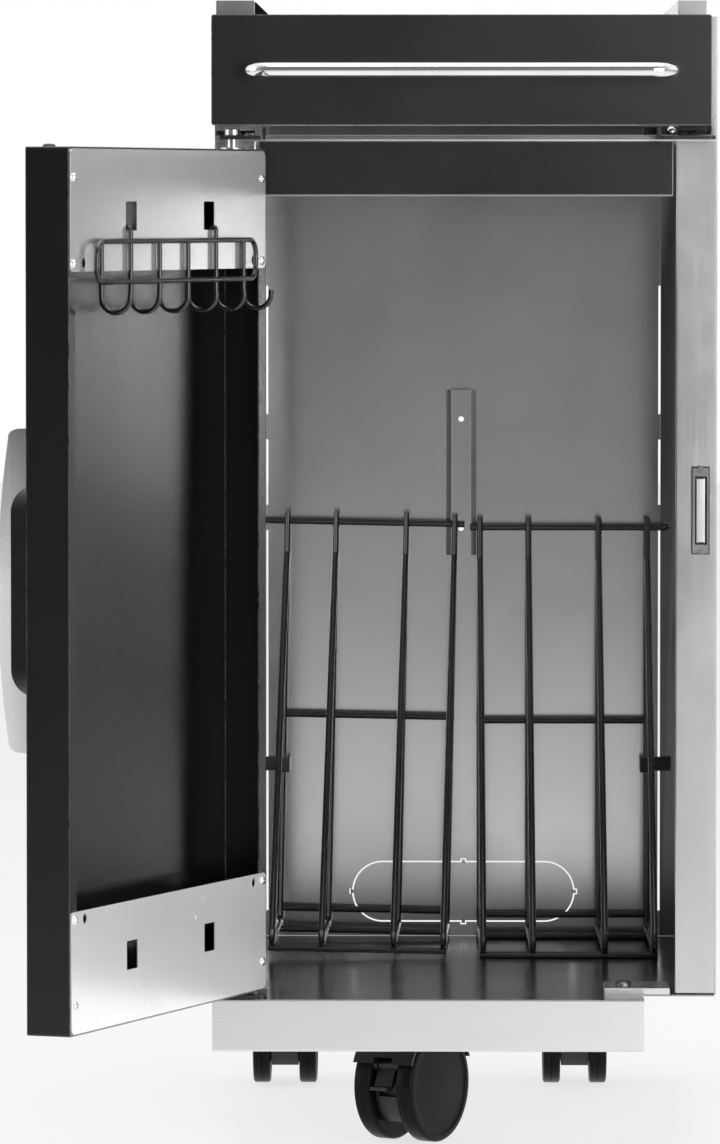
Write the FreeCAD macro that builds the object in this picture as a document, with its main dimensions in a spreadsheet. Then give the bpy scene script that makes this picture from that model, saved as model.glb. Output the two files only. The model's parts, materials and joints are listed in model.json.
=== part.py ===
"""Storage bay of a rolling outdoor grill cart, as a parametric assembly.

A stainless cabinet on casters, with a charcoal pan door hinged on the left, a fixed fascia with a
towel bar, two wire racks at the back and a wire tool rack hung on the door's inner liner.
X runs to the right, Y into the cabinet and Z up from the floor. Millimetres and degrees.
"""

import FreeCAD, Part
import os
import re

import Sketcher
from FreeCAD import Placement, Rotation, Vector

# Driving sizes. X sizes count from the middle of the front, Y sizes from its face, heights from the
# floor, unless their name says otherwise.
SIZES = {
    "front_width": 394,
    "front_depth": 35,
    "sheet": 1.2,
    "thin_sheet": 1.0,
    "fold": 2.0,
    "side_left": 195.5,
    "side_right": 203,
    "side_top": 900,
    "cabinet_depth": 552,
    "stile_front": 42,
    "stile_width": 31.5,
    "stile_return": 14,
    "stile_lift_left": 3.5,
    "stile_lift_right": 1.5,
    "rear_flange_left": 27,
    "rear_flange_right": 31,
    "light_gap": 3.2,
    "tab_overlap": 12,
    "tab_height": 22,
    "upper_tab_height": 120,
    "middle_tab_height": 560,
    "lower_tab_height": 482,
    "floor_height": 122,
    "plinth_drop": 41.4,
    "plinth_right": 145.2,
    "plinth_flange": 16,
    "plinth_side_drop": 19,
    "top_plate_height": 802,
    "header_drop": 43.8,
    "header_gap": 2.5,
    "header_return": 15,
    "fascia_bottom": 813,
    "fascia_height": 87,
    "fascia_depth": 38,
    "lip": 13,
    "bar_span": 329.5,
    "bar_radius": 6,
    "bar_standoff": 36,
    "bar_bend": 15,
    "bar_height": 856,
    "bar_stud_radius": 4,
    "bar_stud": 10,
    "bar_nut_radius": 9,
    "bar_nut_height": 6,
    "counter_height": 912,
    "rail_width_left": 31.4,
    "rail_width_right": 22.6,
    "rail_gap_right": 7.8,
    "rail_notch": 7,
    "rear_rail_height": 60,
    "rail_hole_radius": 3.5,
    "rail_hole_inset": 60,
    "knockout_width": 191.4,
    "knockout_height": 52.6,
    "knockout_offset": 2.1,
    "knockout_lift": 38.3,
    "knockout_slit": 2.2,
    "knockout_tie": 3,
    "knockout_tie_spacing": 110,
    "knockout_notch": 5,
    "round_rest": 0.1,
    "bracket_width": 26,
    "bracket_web": 17,
    "bracket_height": 142,
    "bracket_proud": 11.2,
    "bracket_sheet": 1.2,
    "bracket_bottom": 449.8,
    "bracket_hole_radius": 2.4,
    "bracket_hole_spacing": 94,
    "bracket_hole_lift": 23,
    "wire": 5.5,
    "weld": 0.6,
    "rack_outer": 143,
    "rack_inner": 60,
    "rack_left_middle": 84,
    "rack_right_middle": 87.6,
    "rack_standoff": 13,
    "rack_depth": 204,
    "rack_leg_top": 360.5,
    "rack_front_top": 325,
    "rack_top_rail": 352.2,
    "rack_middle_rail": 186.5,
    "rack_low_rail": 19.5,
    "rack_bend": 8,
    "rack_hook_inset": 5,
    "rack_rail_inner": 8.5,
    "rack_hole_clearance": 1.2,
    "rack_left_tilt": 1.15,
    "rack_left_lift": 4.3,
    "rack_splay": 0.75,
    "clip_height": 270.6,
    "clip_tall": 20,
    "clip_wall": 3,
    "clip_reach": 9,
    "clip_clearance": 0.3,
    "rail_end": 3,
    "catch_height": 69,
    "catch_width": 13.5,
    "catch_depth": 12,
    "catch_middle": 508,
    "catch_inset": 11.8,
    "catch_clearance": 0.25,
    "catch_magnet_height": 53,
    "catch_magnet_width": 8.6,
    "catch_recess": 0.8,
    "catch_proud": 5.5,
    "catch_cup": 13,
    "catch_flange": 3,
    "bracket_plate": 3,
    "bracket_gap": 1.3,
    "bracket_near_screw": 15.5,
    "bracket_far_screw": 24.3,
    "bracket_screw_depth": 48,
    "bracket_screw_radius": 2.5,
    "bracket_screw_head": 4,
    "bracket_screw_height": 2.5,
    "bracket_screw_tail": 6,
    "hinge_plate_width": 39,
    "spare_plate_width": 46,
    "hinge_plate_reach": 54,
    "hinge_plate_corner": 5,
    "hinge_plate_front": 3,
    "hinge_flange": 9.5,
    "pivot_inset": 16.4,
    "pivot_depth": 14.1,
    "pivot_radius": 4,
    "pivot_clearance": 0.05,
    "pivot_engagement": 14,
    "pivot_shoulder": 1.2,
    "pivot_head_radius": 6,
    "pivot_head_height": 5,
    "bush_radius": 7,
    "bush_length": 12,
    "bush_flange_radius": 9.5,
    "bush_flange": 1.5,
    "open_angle": 110.4,
    "door_bottom": 128,
    "door_height": 666,
    "liner_height": 92,
    "liner_margin": 1.5,
    "liner_corner": 5,
    "slot_size": 22,
    "slot_spacing": 156,
    "slot_from_end": 52,
    "liner_hole_radius": 3.75,
    "liner_hole_inset": 25.5,
    "liner_hole_rise": 6.5,
    "screw_radius": 1.6,
    "screw_head_radius": 3.4,
    "screw_head_height": 2,
    "screw_length": 7,
    "screw_clearance": 0.1,
    "liner_screw_inset": 6.5,
    "liner_screw_outer": 21.5,
    "liner_screw_inner": 6,
    "handle_length": 244,
    "handle_opening": 156,
    "handle_width": 25,
    "handle_proud": 32,
    "handle_end_proud": 21,
    "handle_crown": 8,
    "handle_bar": 8,
    "handle_inset": 32,
    "handle_edge": 2,
    "handle_throat": 16,
    "handle_splay": 24,
    "handle_screw_span": 200,
    "handle_screw_depth": 12,
    "hook_wire": 4,
    "hook_pitch": 57,
    "hook_ring_length": 320,
    "hook_ring_height": 30.5,
    "hook_ring_corner": 12,
    "hook_ring_top": 723,
    "hook_reach": 23.5,
    "hook_bottom": 669.5,
    "hook_tip": 684,
    "hook_weld": 0.4,
    "hook_tail": 8,
    "hook_gap": 0.4,
    "caster_x": 26.5,
    "caster_y": 114,
    "caster_rear_left": 150,
    "caster_rear_right": 97,
    "caster_rear_y": 489,
    "caster_swivel": 31.4,
    "caster_trail": 25,
    "wheel_radius": 45.5,
    "wheel_width": 15,
    "wheel_gap": 24.6,
    "wheel_edge": 1.8,
    "hub_radius": 11,
    "hub_recess": 1.5,
    "rim_radius": 38,
    "axle_radius": 4,
    "axle_clearance": 0.05,
    "housing_width": 23,
    "housing_radius": 37,
    "housing_floor": 17,
    "fender_gap": 1.5,
    "fender_thickness": 2.3,
    "fender_start": 65,
    "cap_radius": 8,
    "cap_thickness": 1.5,
    "cap_gap": 0.3,
    "stem_radius": 5.5,
    "stem_clearance": 0.05,
    "stem_bottom": 66,
    "stem_collar_radius": 9,
    "stem_collar": 3.7,
    "stem_end_gap": 1,
    "boss_radius": 13,
    "boss_height": 9,
    "boss_top": 96.5,
    "plate_height": 100.5,
    "plate_size": 64,
    "plate_thickness": 2.5,
    "plate_corner": 6,
    "plate_bolt_spacing": 46,
    "bolt_radius": 3,
    "bolt_clearance": 0.3,
    "bolt_head_radius": 5,
    "bolt_head_height": 3,
    "nut_height": 5,
    "bolt_end": 2,
    "socket_radius": 9,
    "socket_height": 13,
    "channel_width": 68,
    "channel_sheet": 2,
    "channel_flange": 12,
    "lever_width": 16,
    "lever_thickness": 3,
    "lever_side_gap": 0.4,
    "lever_back": 34,
    "lever_rise": 18,
    "lever_fall": 19.5,
    "lever_out": 9,
    "lever_pedal": 8,
    "lever_eye_radius": 4,
    "lever_lug_radius": 5.5,
    "lever_slot_low": 38,
    "lever_slot_high": 70,
    "lever_slot_depth": 5,
    "lever_pin_radius": 2,
    "joint_plate_width": 51.8,
    "joint_plate_depth": 57,
    "joint_plate_front": 44,
    "joint_plate_height": 7.4,
    "joint_plate_thickness": 3,
    "joint_plate_inset": 35.6,
    "joint_bolt_inset": 15.3,
    "joint_bolt_radius": 3.9,
    "joint_bolt_tail": 1.2,
    "joint_bolt_head_radius": 7,
    "joint_bolt_head_height": 5.5,
    "frame_x": 0,
    "frame_y": 0,
}

doc = FreeCAD.newDocument("grill_cart_storage_bay")
sizes = doc.addObject("Spreadsheet::Sheet", "sizes")
for row, (alias, value) in enumerate(SIZES.items(), start=1):
    sizes.set(f"A{row}", str(value))
    sizes.setAlias(f"A{row}", alias)
doc.recompute()

# Nodes in the order they are made: label and body.
nodes = {}

PLANES = {"XY": ("XY_Plane", 1), "XZ": ("XZ_Plane", -1), "YZ": ("YZ_Plane", 1)}


def formula(text):
    """A formula in plain size names becomes one that reads the sheet."""
    return re.sub(r"[a-z][a-z_]+", lambda name: "sizes." + name.group(0) if name.group(0) in SIZES
                  else name.group(0), text)


def bind(item, path, text):
    item.setExpression(path, formula(text))


def new_body(label):
    body = doc.addObject("PartDesign::Body", label)
    body.Label = label
    body.AllowCompound = True
    nodes[label] = body
    return body


def stand(body, x="0", y="0", z="0", turn=None, axis=Vector(0, 0, 1)):
    """Place a body in the cabinet. The frame values move the whole cart over its own origin."""
    body.Placement = Placement(Vector(), Rotation(axis, 0))
    bind(body, "Placement.Base.x", f"frame_x + ({x})")
    bind(body, "Placement.Base.y", f"frame_y + ({y})")
    bind(body, "Placement.Base.z", z)
    if turn:
        bind(body, "Placement.Rotation.Angle", turn)


def sketch_on(body, plane, at="0"):
    """A sketch square to one axis. XY reads X and Y, XZ reads X and Z, YZ reads Y and Z."""
    role, side = PLANES[plane]
    sketch = body.newObject("Sketcher::SketchObject", f"{body.Label}_{plane}")
    origin_plane = [item for item in body.Origin.OriginFeatures if item.Role == role][0]
    sketch.AttachmentSupport = [(origin_plane, "")]
    sketch.MapMode = "FlatFace"
    bind(sketch, "AttachmentOffset.Base.z", at if side > 0 else f"-({at})")
    return sketch


def fix(sketch, geometry, point, place):
    """Tie one point of a sketch to a pair of formulas."""
    for kind, text in zip(("DistanceX", "DistanceY"), place):
        index = sketch.addConstraint(Sketcher.Constraint(kind, -1, 1, geometry, point, 1.0 + geometry))
        name = f"{kind}_{len(sketch.Constraints)}_{geometry}"
        sketch.renameConstraint(index, name)
        bind(sketch, f"Constraints.{name}", text)


def lines(sketch, points, closed=True, rounds=None):
    """Straight lines from point to point, each corner in rounds eased by its own radius."""
    first = sketch.GeometryCount
    count = len(points) if closed else len(points) - 1
    for step in range(count):
        start = Vector(step, step * step, 0)
        sketch.addGeometry(Part.LineSegment(start, start + Vector(1, 2 * step + 1, 0)), False)
    for step in range(count if closed else count - 1):
        follower = first + (step + 1) % count
        sketch.addConstraint(Sketcher.Constraint("Coincident", first + step, 2, follower, 1))
    for step, place in enumerate(points):
        if step < count:
            fix(sketch, first + step, 1, place)
        else:
            fix(sketch, first + step - 1, 2, place)
    if rounds:
        doc.recompute()
        for corner, radius in rounds.items():
            before = first + (corner - 1) % count
            sketch.fillet(before, 2, 0.5, True, True)
            arc = sketch.GeometryCount - 2
            index = sketch.addConstraint(Sketcher.Constraint("Radius", arc, 0.5))
            sketch.renameConstraint(index, f"round_{arc}")
            bind(sketch, f"Constraints.round_{arc}", radius)


def box_lines(sketch, left, right, low, high, radius=None):
    corners = [(left, low), (right, low), (right, high), (left, high)]
    lines(sketch, corners, rounds={step: radius for step in range(4)} if radius else None)


def circle(sketch, place, radius):
    index = sketch.addGeometry(Part.Circle(Vector(0, 0, 0), Vector(0, 0, 1), 1.0), False)
    fix(sketch, index, 3, place)
    tie = sketch.addConstraint(Sketcher.Constraint("Radius", index, 1.0))
    sketch.renameConstraint(tie, f"radius_{index}")
    bind(sketch, f"Constraints.radius_{index}", radius)


def side_of(sketch):
    return -1 if "_XZ" in sketch.Name else 1


def pad(body, sketch, length):
    """Add material from the sketch along the positive axis."""
    feature = body.newObject("PartDesign::Pad", "pad")
    feature.Profile = sketch
    feature.Reversed = side_of(sketch) < 0
    bind(feature, "Length", length)
    sketch.Visibility = False
    return feature


def pocket(body, sketch, length):
    """Cut from the sketch along the positive axis."""
    feature = body.newObject("PartDesign::Pocket", "pocket")
    feature.Profile = sketch
    feature.Reversed = side_of(sketch) > 0
    bind(feature, "Length", length)
    return feature


def extrude(body, plane, start, length, points, rounds=None):
    """A closed outline drawn square to an axis and pushed along it."""
    sketch = sketch_on(body, plane, start)
    lines(sketch, points, rounds=rounds)
    return pad(body, sketch, length)


def rod(body, plane, start, length, place, radius):
    sketch = sketch_on(body, plane, start)
    circle(sketch, place, radius)
    return pad(body, sketch, length)


def drill(body, plane, start, length, places, radius):
    """Round holes through a wall that starts at one plane."""
    sketch = sketch_on(body, plane, start)
    for place in places:
        circle(sketch, place, radius)
    return pocket(body, sketch, length)


def cut_box(body, plane, start, length, left, right, low, high):
    sketch = sketch_on(body, plane, start)
    box_lines(sketch, left, right, low, high)
    return pocket(body, sketch, length)


def wire(body, plane, at, points, bend, radius, yaw=None):
    """A bent wire: a path with eased corners in one plane, swept by a circle from its first point."""
    path = sketch_on(body, plane, at)
    closed = points[0] == points[-1]
    route = points[:-1] if closed else points
    corners = range(len(route)) if closed else range(1, len(route) - 1)
    lines(path, route, closed=closed, rounds={corner: bend for corner in corners})
    if yaw:
        path.AttachmentOffset = Placement(Vector(), Rotation(Vector(0, 1, 0), 0))
        bind(path, "AttachmentOffset.Rotation.Angle", yaw)
    across, up = points[0]
    if closed:
        across = f"(({points[0][0]}) + ({points[1][0]})) / 2"
    along_first = closed or points[0][1] == points[1][1]
    if plane == "XY":
        start = ("YZ", across, (up, at)) if along_first else ("XZ", up, (across, at))
    elif plane == "XZ":
        start = ("YZ", across, (at, up)) if along_first else ("XY", up, (across, at))
    else:
        start = ("XZ", across, (at, up)) if along_first else ("XY", up, (at, across))
    profile = sketch_on(body, start[0], start[1])
    circle(profile, start[2], radius)
    feature = body.newObject("PartDesign::AdditivePipe", "bent_wire")
    feature.Profile = profile
    feature.Spine = (path, [])
    return feature


def turned(body, plane, at, points, level):
    """A solid of revolution about the line at one level, square to the sketch's second axis."""
    sketch = sketch_on(body, plane, at)
    lines(sketch, points)
    axis = sketch.addGeometry(Part.LineSegment(Vector(0, 0, 0), Vector(10, 0, 0)), True)
    fix(sketch, axis, 1, ("0", level))
    fix(sketch, axis, 2, ("10", level))
    feature = body.newObject("PartDesign::Revolution", "turned")
    feature.Profile = sketch
    feature.ReferenceAxis = (sketch, ["Axis0"])
    feature.Angle = 360
    return feature


# Places that several pieces share.
HALF_FRONT = "front_width / 2"
LEFT_IN = "(-side_left + sheet)"
RIGHT_IN = "(side_right - sheet)"
FLOOR_UNDER = "(floor_height - sheet)"
TOP_UNDER = "(top_plate_height - sheet)"
LEFT_FLANGE = f"({LEFT_IN} + rear_flange_left)"
RIGHT_FLANGE = f"({RIGHT_IN} - rear_flange_right)"
LEFT_STILE = f"({LEFT_IN} + stile_width)"
RIGHT_STILE = f"({RIGHT_IN} - stile_width)"
PLINTH_LEFT = f"(-{HALF_FRONT})"
PLINTH_INNER_LEFT = f"({PLINTH_LEFT} + plinth_flange)"
PLINTH_INNER_WIDTH = f"(plinth_right + {HALF_FRONT} - 2 * plinth_flange)"
RAIL_LEFT_EDGE = "(rail_width_left - side_left)"
RAIL_RIGHT_OUTER = f"({RIGHT_IN} - rail_gap_right)"
RAIL_RIGHT_EDGE = f"({RAIL_RIGHT_OUTER} - rail_width_right)"
CHANNEL_WEB = "(plate_height + plate_thickness)"
CHANNEL_REAR = "(cabinet_depth - sheet)"
RACK_Y = "(cabinet_depth - rack_standoff)"
CATCH_X = f"({RIGHT_IN} - catch_inset)"
PIVOT_X = f"(pivot_inset - {HALF_FRONT})"
DOOR_TOP = "(door_bottom + door_height)"
BRACKET_LEFT = f"({LEFT_IN} + bracket_gap)"
BRACKET_RIGHT = f"({RIGHT_IN} - bracket_gap)"
JOINT_BOLT_X = f"({RIGHT_IN} - joint_plate_inset - joint_plate_width + joint_bolt_inset)"
BRACKET_HOLES = [("0", "bracket_bottom + bracket_hole_lift"),
                 ("0", "bracket_bottom + bracket_hole_lift + bracket_hole_spacing")]
TOP_SCREWS = [(f"{outer} + ({inward}) * {inset}", "bracket_screw_depth")
              for outer, inward in ((BRACKET_LEFT, 1), (BRACKET_RIGHT, -1))
              for inset in ("bracket_near_screw", "bracket_far_screw")]
LOWER_SCREWS = TOP_SCREWS[:2]
JOINT_BOLT = (JOINT_BOLT_X, "joint_plate_front + joint_plate_depth / 2")
CASTERS = {"front": ("(-caster_x)", "caster_y"),
           "rear_left": ("(-caster_rear_left)", "caster_rear_y"),
           "rear_right": ("caster_rear_right", "caster_rear_y")}
DOOR_MIDDLE = f"({HALF_FRONT} - pivot_inset)"
DOOR_BACK = "(front_depth - pivot_depth)"
SLOT_LEVEL = f"({DOOR_TOP} - slot_from_end)"
CASTER_WIDTH = "(2 * wheel_width + wheel_gap)"
LEVER_Y = "(-caster_trail - lever_back)"
LEVER_Z = "(wheel_radius + lever_rise)"

# Where the racks' top rails hook into the side panels' rear flanges. The left rack hangs a little
# high and out of level, so its own rail meets the hole at a turned place.
RIGHT_HOOK = f"({RIGHT_FLANGE} + rack_hook_inset)"
LEFT_HOOK = f"({LEFT_FLANGE} - rack_hook_inset)"
LEFT_REACH = (f"((rack_top_rail * sin(rack_left_tilt) - rack_left_middle - {LEFT_HOOK})"
              " / cos(rack_left_tilt))")
LEFT_HOOK_HEIGHT = (f"(floor_height + rack_left_lift + rack_top_rail * cos(rack_left_tilt)"
                    f" + {LEFT_REACH} * sin(rack_left_tilt))")
RIGHT_REACH = f"({RIGHT_HOOK} - rack_right_middle)"
RIGHT_HOOK_HEIGHT = "(floor_height + rack_top_rail)"


def floor_pan():
    """Folded floor, notched at the front right where the bay hangs past its base."""
    body = new_body("floor_pan")
    extrude(body, "XY", FLOOR_UNDER, "sheet", [
        (PLINTH_LEFT, "0"), ("plinth_right", "0"), ("plinth_right", "stile_front"),
        (RIGHT_IN, "stile_front"), (RIGHT_IN, "cabinet_depth"), (LEFT_IN, "cabinet_depth"),
        (LEFT_IN, "plinth_flange"), (PLINTH_LEFT, "plinth_flange")])
    drill(body, "XY", FLOOR_UNDER, "sheet", LOWER_SCREWS, "bracket_screw_radius + screw_clearance")
    drill(body, "XY", FLOOR_UNDER, "sheet", [JOINT_BOLT], "joint_bolt_radius + bolt_clearance")
    stand(body)


def c_rail(label, start, length, face, flange, low, high):
    """A rail of C-section lying along X, with its web facing forward."""
    body = new_body(label)
    web = f"({face} + sheet)"
    rear = f"({face} + {flange})"
    extrude(body, "YZ", start, length, [
        (face, low), (rear, low), (rear, f"{low} + sheet"), (web, f"{low} + sheet"),
        (web, f"{high} - sheet"), (rear, f"{high} - sheet"), (rear, high), (face, high)],
        rounds={0: "fold"})
    stand(body)


def base_side_rail(label, face, inward):
    """Shallow angle under one side of the floor, from the front rail to the rear one."""
    body = new_body(label)
    low = f"({FLOOR_UNDER} - plinth_side_drop)"
    inner = f"({face} + ({inward}) * plinth_flange)"
    web = f"({face} + ({inward}) * sheet)"
    extrude(body, "XZ", "plinth_flange", f"{CHANNEL_REAR} - plinth_flange", [
        (face, low), (web, low), (web, f"{FLOOR_UNDER} - sheet"), (inner, f"{FLOOR_UNDER} - sheet"),
        (inner, FLOOR_UNDER), (face, FLOOR_UNDER)])
    stand(body)


def base_rear_rail():
    body = new_body("base_rear_rail")
    low = f"({FLOOR_UNDER} - plinth_side_drop)"
    inner = f"({CHANNEL_REAR} + sheet - plinth_flange)"
    extrude(body, "YZ", PLINTH_INNER_LEFT, PLINTH_INNER_WIDTH, [
        (CHANNEL_REAR, low), ("cabinet_depth", low), ("cabinet_depth", FLOOR_UNDER),
        (inner, FLOOR_UNDER), (inner, f"{FLOOR_UNDER} - sheet"),
        (CHANNEL_REAR, f"{FLOOR_UNDER} - sheet")])
    stand(body)


def cross_channel(label, casters):
    """Top-hat channel under the floor that the caster plates bolt to."""
    middle = CASTERS[casters[0]][1]
    holes = [CASTERS[caster][0] for caster in casters]
    body = new_body(label)
    near = f"({middle} - channel_width / 2)"
    far = f"({middle} + channel_width / 2)"
    top = f"({FLOOR_UNDER} - channel_sheet)"
    extrude(body, "YZ", PLINTH_INNER_LEFT, PLINTH_INNER_WIDTH, [
        (f"{near} - channel_flange", top), (near, top), (near, CHANNEL_WEB), (far, CHANNEL_WEB),
        (far, top), (f"{far} + channel_flange", top), (f"{far} + channel_flange", FLOOR_UNDER),
        (f"{far} - channel_sheet", FLOOR_UNDER),
        (f"{far} - channel_sheet", f"{CHANNEL_WEB} + channel_sheet"),
        (f"{near} + channel_sheet", f"{CHANNEL_WEB} + channel_sheet"),
        (f"{near} + channel_sheet", FLOOR_UNDER), (f"{near} - channel_flange", FLOOR_UNDER)])
    half = "plate_bolt_spacing / 2"
    drill(body, "XY", CHANNEL_WEB, "channel_sheet", [
        (f"({hole}) + ({x}) * {half}", f"{middle} + ({y}) * {half}")
        for hole in holes for x in (-1, 1) for y in (-1, 1)], "bolt_radius + bolt_clearance")
    drill(body, "XY", CHANNEL_WEB, "channel_sheet", [(hole, middle) for hole in holes],
          "socket_radius + bolt_clearance")
    stand(body)


def side_panel(label, outer, inward, flange, hook):
    """One side sheet, with a foot flange on the floor and a return flange at the back."""
    body = new_body(label)
    inner = f"({outer} + ({inward}) * sheet)"
    foot = f"({outer} + ({inward}) * stile_return)"
    flange_edge = f"({inner} + ({inward}) * {flange})"
    extrude(body, "XY", "floor_height", "side_top - floor_height", [
        (outer, "stile_front"), (outer, "cabinet_depth + sheet"), (flange_edge, "cabinet_depth + sheet"),
        (flange_edge, "cabinet_depth"), (inner, "cabinet_depth"), (inner, "stile_front")])
    near = "(stile_front + stile_return + fold)"
    extrude(body, "XY", "floor_height", "sheet", [
        (inner, near), (foot, near), (foot, "cabinet_depth"), (inner, "cabinet_depth")])
    drill(body, "XZ", "cabinet_depth", "sheet", [hook], "wire / 2 + rack_hole_clearance")
    stand(body)


def stile(label, outer, inward, lift, catch=False):
    """Front post: a C-section with its web facing forward."""
    body = new_body(label)
    edge = f"({outer} + ({inward}) * stile_width)"
    web = f"({outer} + ({inward}) * sheet)"
    edge_in = f"({edge} - ({inward}) * sheet)"
    rear = "(stile_front + stile_return)"
    extrude(body, "XY", f"floor_height + {lift}", f"{TOP_UNDER} - floor_height - {lift}", [
        (outer, "stile_front"), (edge, "stile_front"), (edge, rear), (edge_in, rear),
        (edge_in, "stile_front + sheet"), (web, "stile_front + sheet"), (web, rear), (outer, rear)],
        rounds={1: "sheet"})
    if catch:
        half = "(catch_width / 2 + catch_clearance)"
        tall = "(catch_height / 2 + catch_clearance)"
        cut_box(body, "XZ", "stile_front", "sheet", f"{CATCH_X} - {half}", f"{CATCH_X} + {half}",
                f"catch_middle - {tall}", f"catch_middle + {tall}")
    stand(body)


def back_panel():
    """Bright rear sheet riveted behind the side flanges by three tabs a side, so that light shows
    through the long slots between them. A stadium knock-out near the floor hangs on four ties."""
    body = new_body("back_panel")
    rear = "(cabinet_depth + sheet)"
    left = f"({LEFT_FLANGE} + light_gap)"
    right = f"({RIGHT_FLANGE} - light_gap)"
    extrude(body, "XZ", rear, "thin_sheet", [
        (left, "floor_height"), (right, "floor_height"), (right, TOP_UNDER), (left, TOP_UNDER)])
    tabs = sketch_on(body, "XZ", rear)
    upper = f"({TOP_UNDER} - upper_tab_height)"
    spans = [("floor_height", "floor_height + tab_height"), (upper, TOP_UNDER)]
    for middle in ("lower_tab_height", "middle_tab_height"):
        spans.append((f"{middle} - tab_height / 2", f"{middle} + tab_height / 2"))
    for low, high in spans:
        box_lines(tabs, f"{left} - light_gap - tab_overlap", left, low, high)
        box_lines(tabs, right, f"{right} + light_gap + tab_overlap", low, high)
    pad(body, tabs, "thin_sheet")
    drill(body, "XZ", rear, "thin_sheet", BRACKET_HOLES, "bracket_hole_radius")
    knockout(body, rear)
    stand(body)


def knockout(body, rear):
    """The slit: two C-shaped ends and the two stretches between the ties."""
    radius = "(knockout_height / 2)"
    inner = f"({radius} - knockout_slit)"
    level = "(floor_height + knockout_lift)"
    notch = "knockout_notch / 2"
    for side in (-1, 1):
        tip = f"(knockout_offset + ({side}) * knockout_width / 2)"
        tie = f"(knockout_offset + ({side}) * (knockout_tie_spacing / 2 + knockout_tie / 2))"
        near_tip = f"({tip} - ({side}) * knockout_slit)"
        sketch = sketch_on(body, "XZ", rear)
        lines(sketch, [(tie, f"{level} + {radius}"), (tip, f"{level} + {radius}"),
                       (tip, f"{level} - {radius}"), (tie, f"{level} - {radius}"),
                       (tie, f"{level} - {inner}"), (near_tip, f"{level} - {inner}"),
                       (near_tip, f"{level} + {inner}"), (tie, f"{level} + {inner}")],
              rounds={1: f"{radius} - round_rest", 2: f"{radius} - round_rest",
                      5: f"{inner} - round_rest", 6: f"{inner} - round_rest"})
        pocket(body, sketch, "thin_sheet")
        cut_box(body, "XZ", rear, "thin_sheet", f"{tip} - knockout_slit / 2",
                f"{tip} + ({side}) * knockout_slit", f"{level} - {notch}", f"{level} + {notch}")
    tie = "(knockout_tie_spacing / 2 - knockout_tie / 2)"
    straight = sketch_on(body, "XZ", rear)
    tabs = sketch_on(body, "XZ", rear)
    for way in (-1, 1):
        near = f"({level} + ({way}) * {inner})"
        far = f"({level} + ({way}) * {radius})"
        box_lines(straight, f"knockout_offset - {tie}", f"knockout_offset + {tie}", near, far)
        box_lines(tabs, f"knockout_offset - {notch}", f"knockout_offset + {notch}", near,
                  f"{far} + ({way}) * knockout_slit")
    pocket(body, straight, "thin_sheet")
    pocket(body, tabs, "thin_sheet")


def top_plate():
    body = new_body("top_plate")
    front = "(stile_front - sheet)"
    extrude(body, "XY", TOP_UNDER, "sheet", [
        (LEFT_IN, front), (RIGHT_IN, front), (RIGHT_IN, "cabinet_depth"), (LEFT_IN, "cabinet_depth")])
    drill(body, "XY", TOP_UNDER, "sheet", TOP_SCREWS, "bracket_screw_radius + screw_clearance")
    stand(body)


def pan(body, left, right, low, high, front, depth):
    """A pan folded from one sheet: face to the front, four walls and a lip round the open back."""
    extrude(body, "XZ", front, depth, [(left, low), (right, low), (right, high), (left, high)],
            rounds={corner: "fold" for corner in range(4)})
    cut_box(body, "XZ", f"{front} + sheet", f"{depth} - sheet", f"{left} + lip", f"{right} - lip",
            f"{low} + lip", f"{high} - lip")
    cut_box(body, "XZ", f"{front} + sheet", f"{depth} - 2 * sheet", f"{left} + sheet",
            f"{right} - sheet", f"{low} + sheet", f"{high} - sheet")


def fascia():
    """Charcoal pan above the door, drilled for the towel bar's studs."""
    body = new_body("fascia")
    pan(body, f"(-{HALF_FRONT})", f"({HALF_FRONT})", "fascia_bottom",
        "(fascia_bottom + fascia_height)", "0", "fascia_depth")
    drill(body, "XZ", "0", "sheet", [("-bar_span / 2", "bar_height"), ("bar_span / 2", "bar_height")],
          "bar_stud_radius")
    stand(body)


def towel_bar():
    """Bar bent back at both ends, with thinner studs through the fascia and a nut on each."""
    bar = new_body("towel_bar")
    left, right = "-bar_span / 2", "bar_span / 2"
    wire(bar, "XY", "bar_height", [(left, "0"), (left, "-bar_standoff"), (right, "-bar_standoff"),
                                   (right, "0")], "bar_bend", "bar_radius")
    nuts = new_body("towel_bar_nuts")
    for side in (left, right):
        rod(bar, "XZ", "-sheet", "2 * sheet + bar_stud", (side, "bar_height"), "bar_stud_radius")
        hexagon(nuts, "XZ", "sheet", "bar_nut_height", (side, "bar_height"), "bar_nut_radius",
                "bar_stud_radius")
    stand(bar)
    stand(nuts)


def hexagon(body, plane, start, length, place, radius, bore=None):
    """A hexagonal nut or bolt head, radius to its corners."""
    across, up = place
    sketch = sketch_on(body, plane, start)
    corners = [(1, 0), (0.5, 1), (-0.5, 1), (-1, 0), (-0.5, -1), (0.5, -1)]
    lines(sketch, [(f"({across}) + ({x}) * {radius}", f"({up}) + ({y}) * {radius} * sqrt(3) / 2")
                   for x, y in corners])
    if bore:
        circle(sketch, place, bore)
    pad(body, sketch, length)


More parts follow.
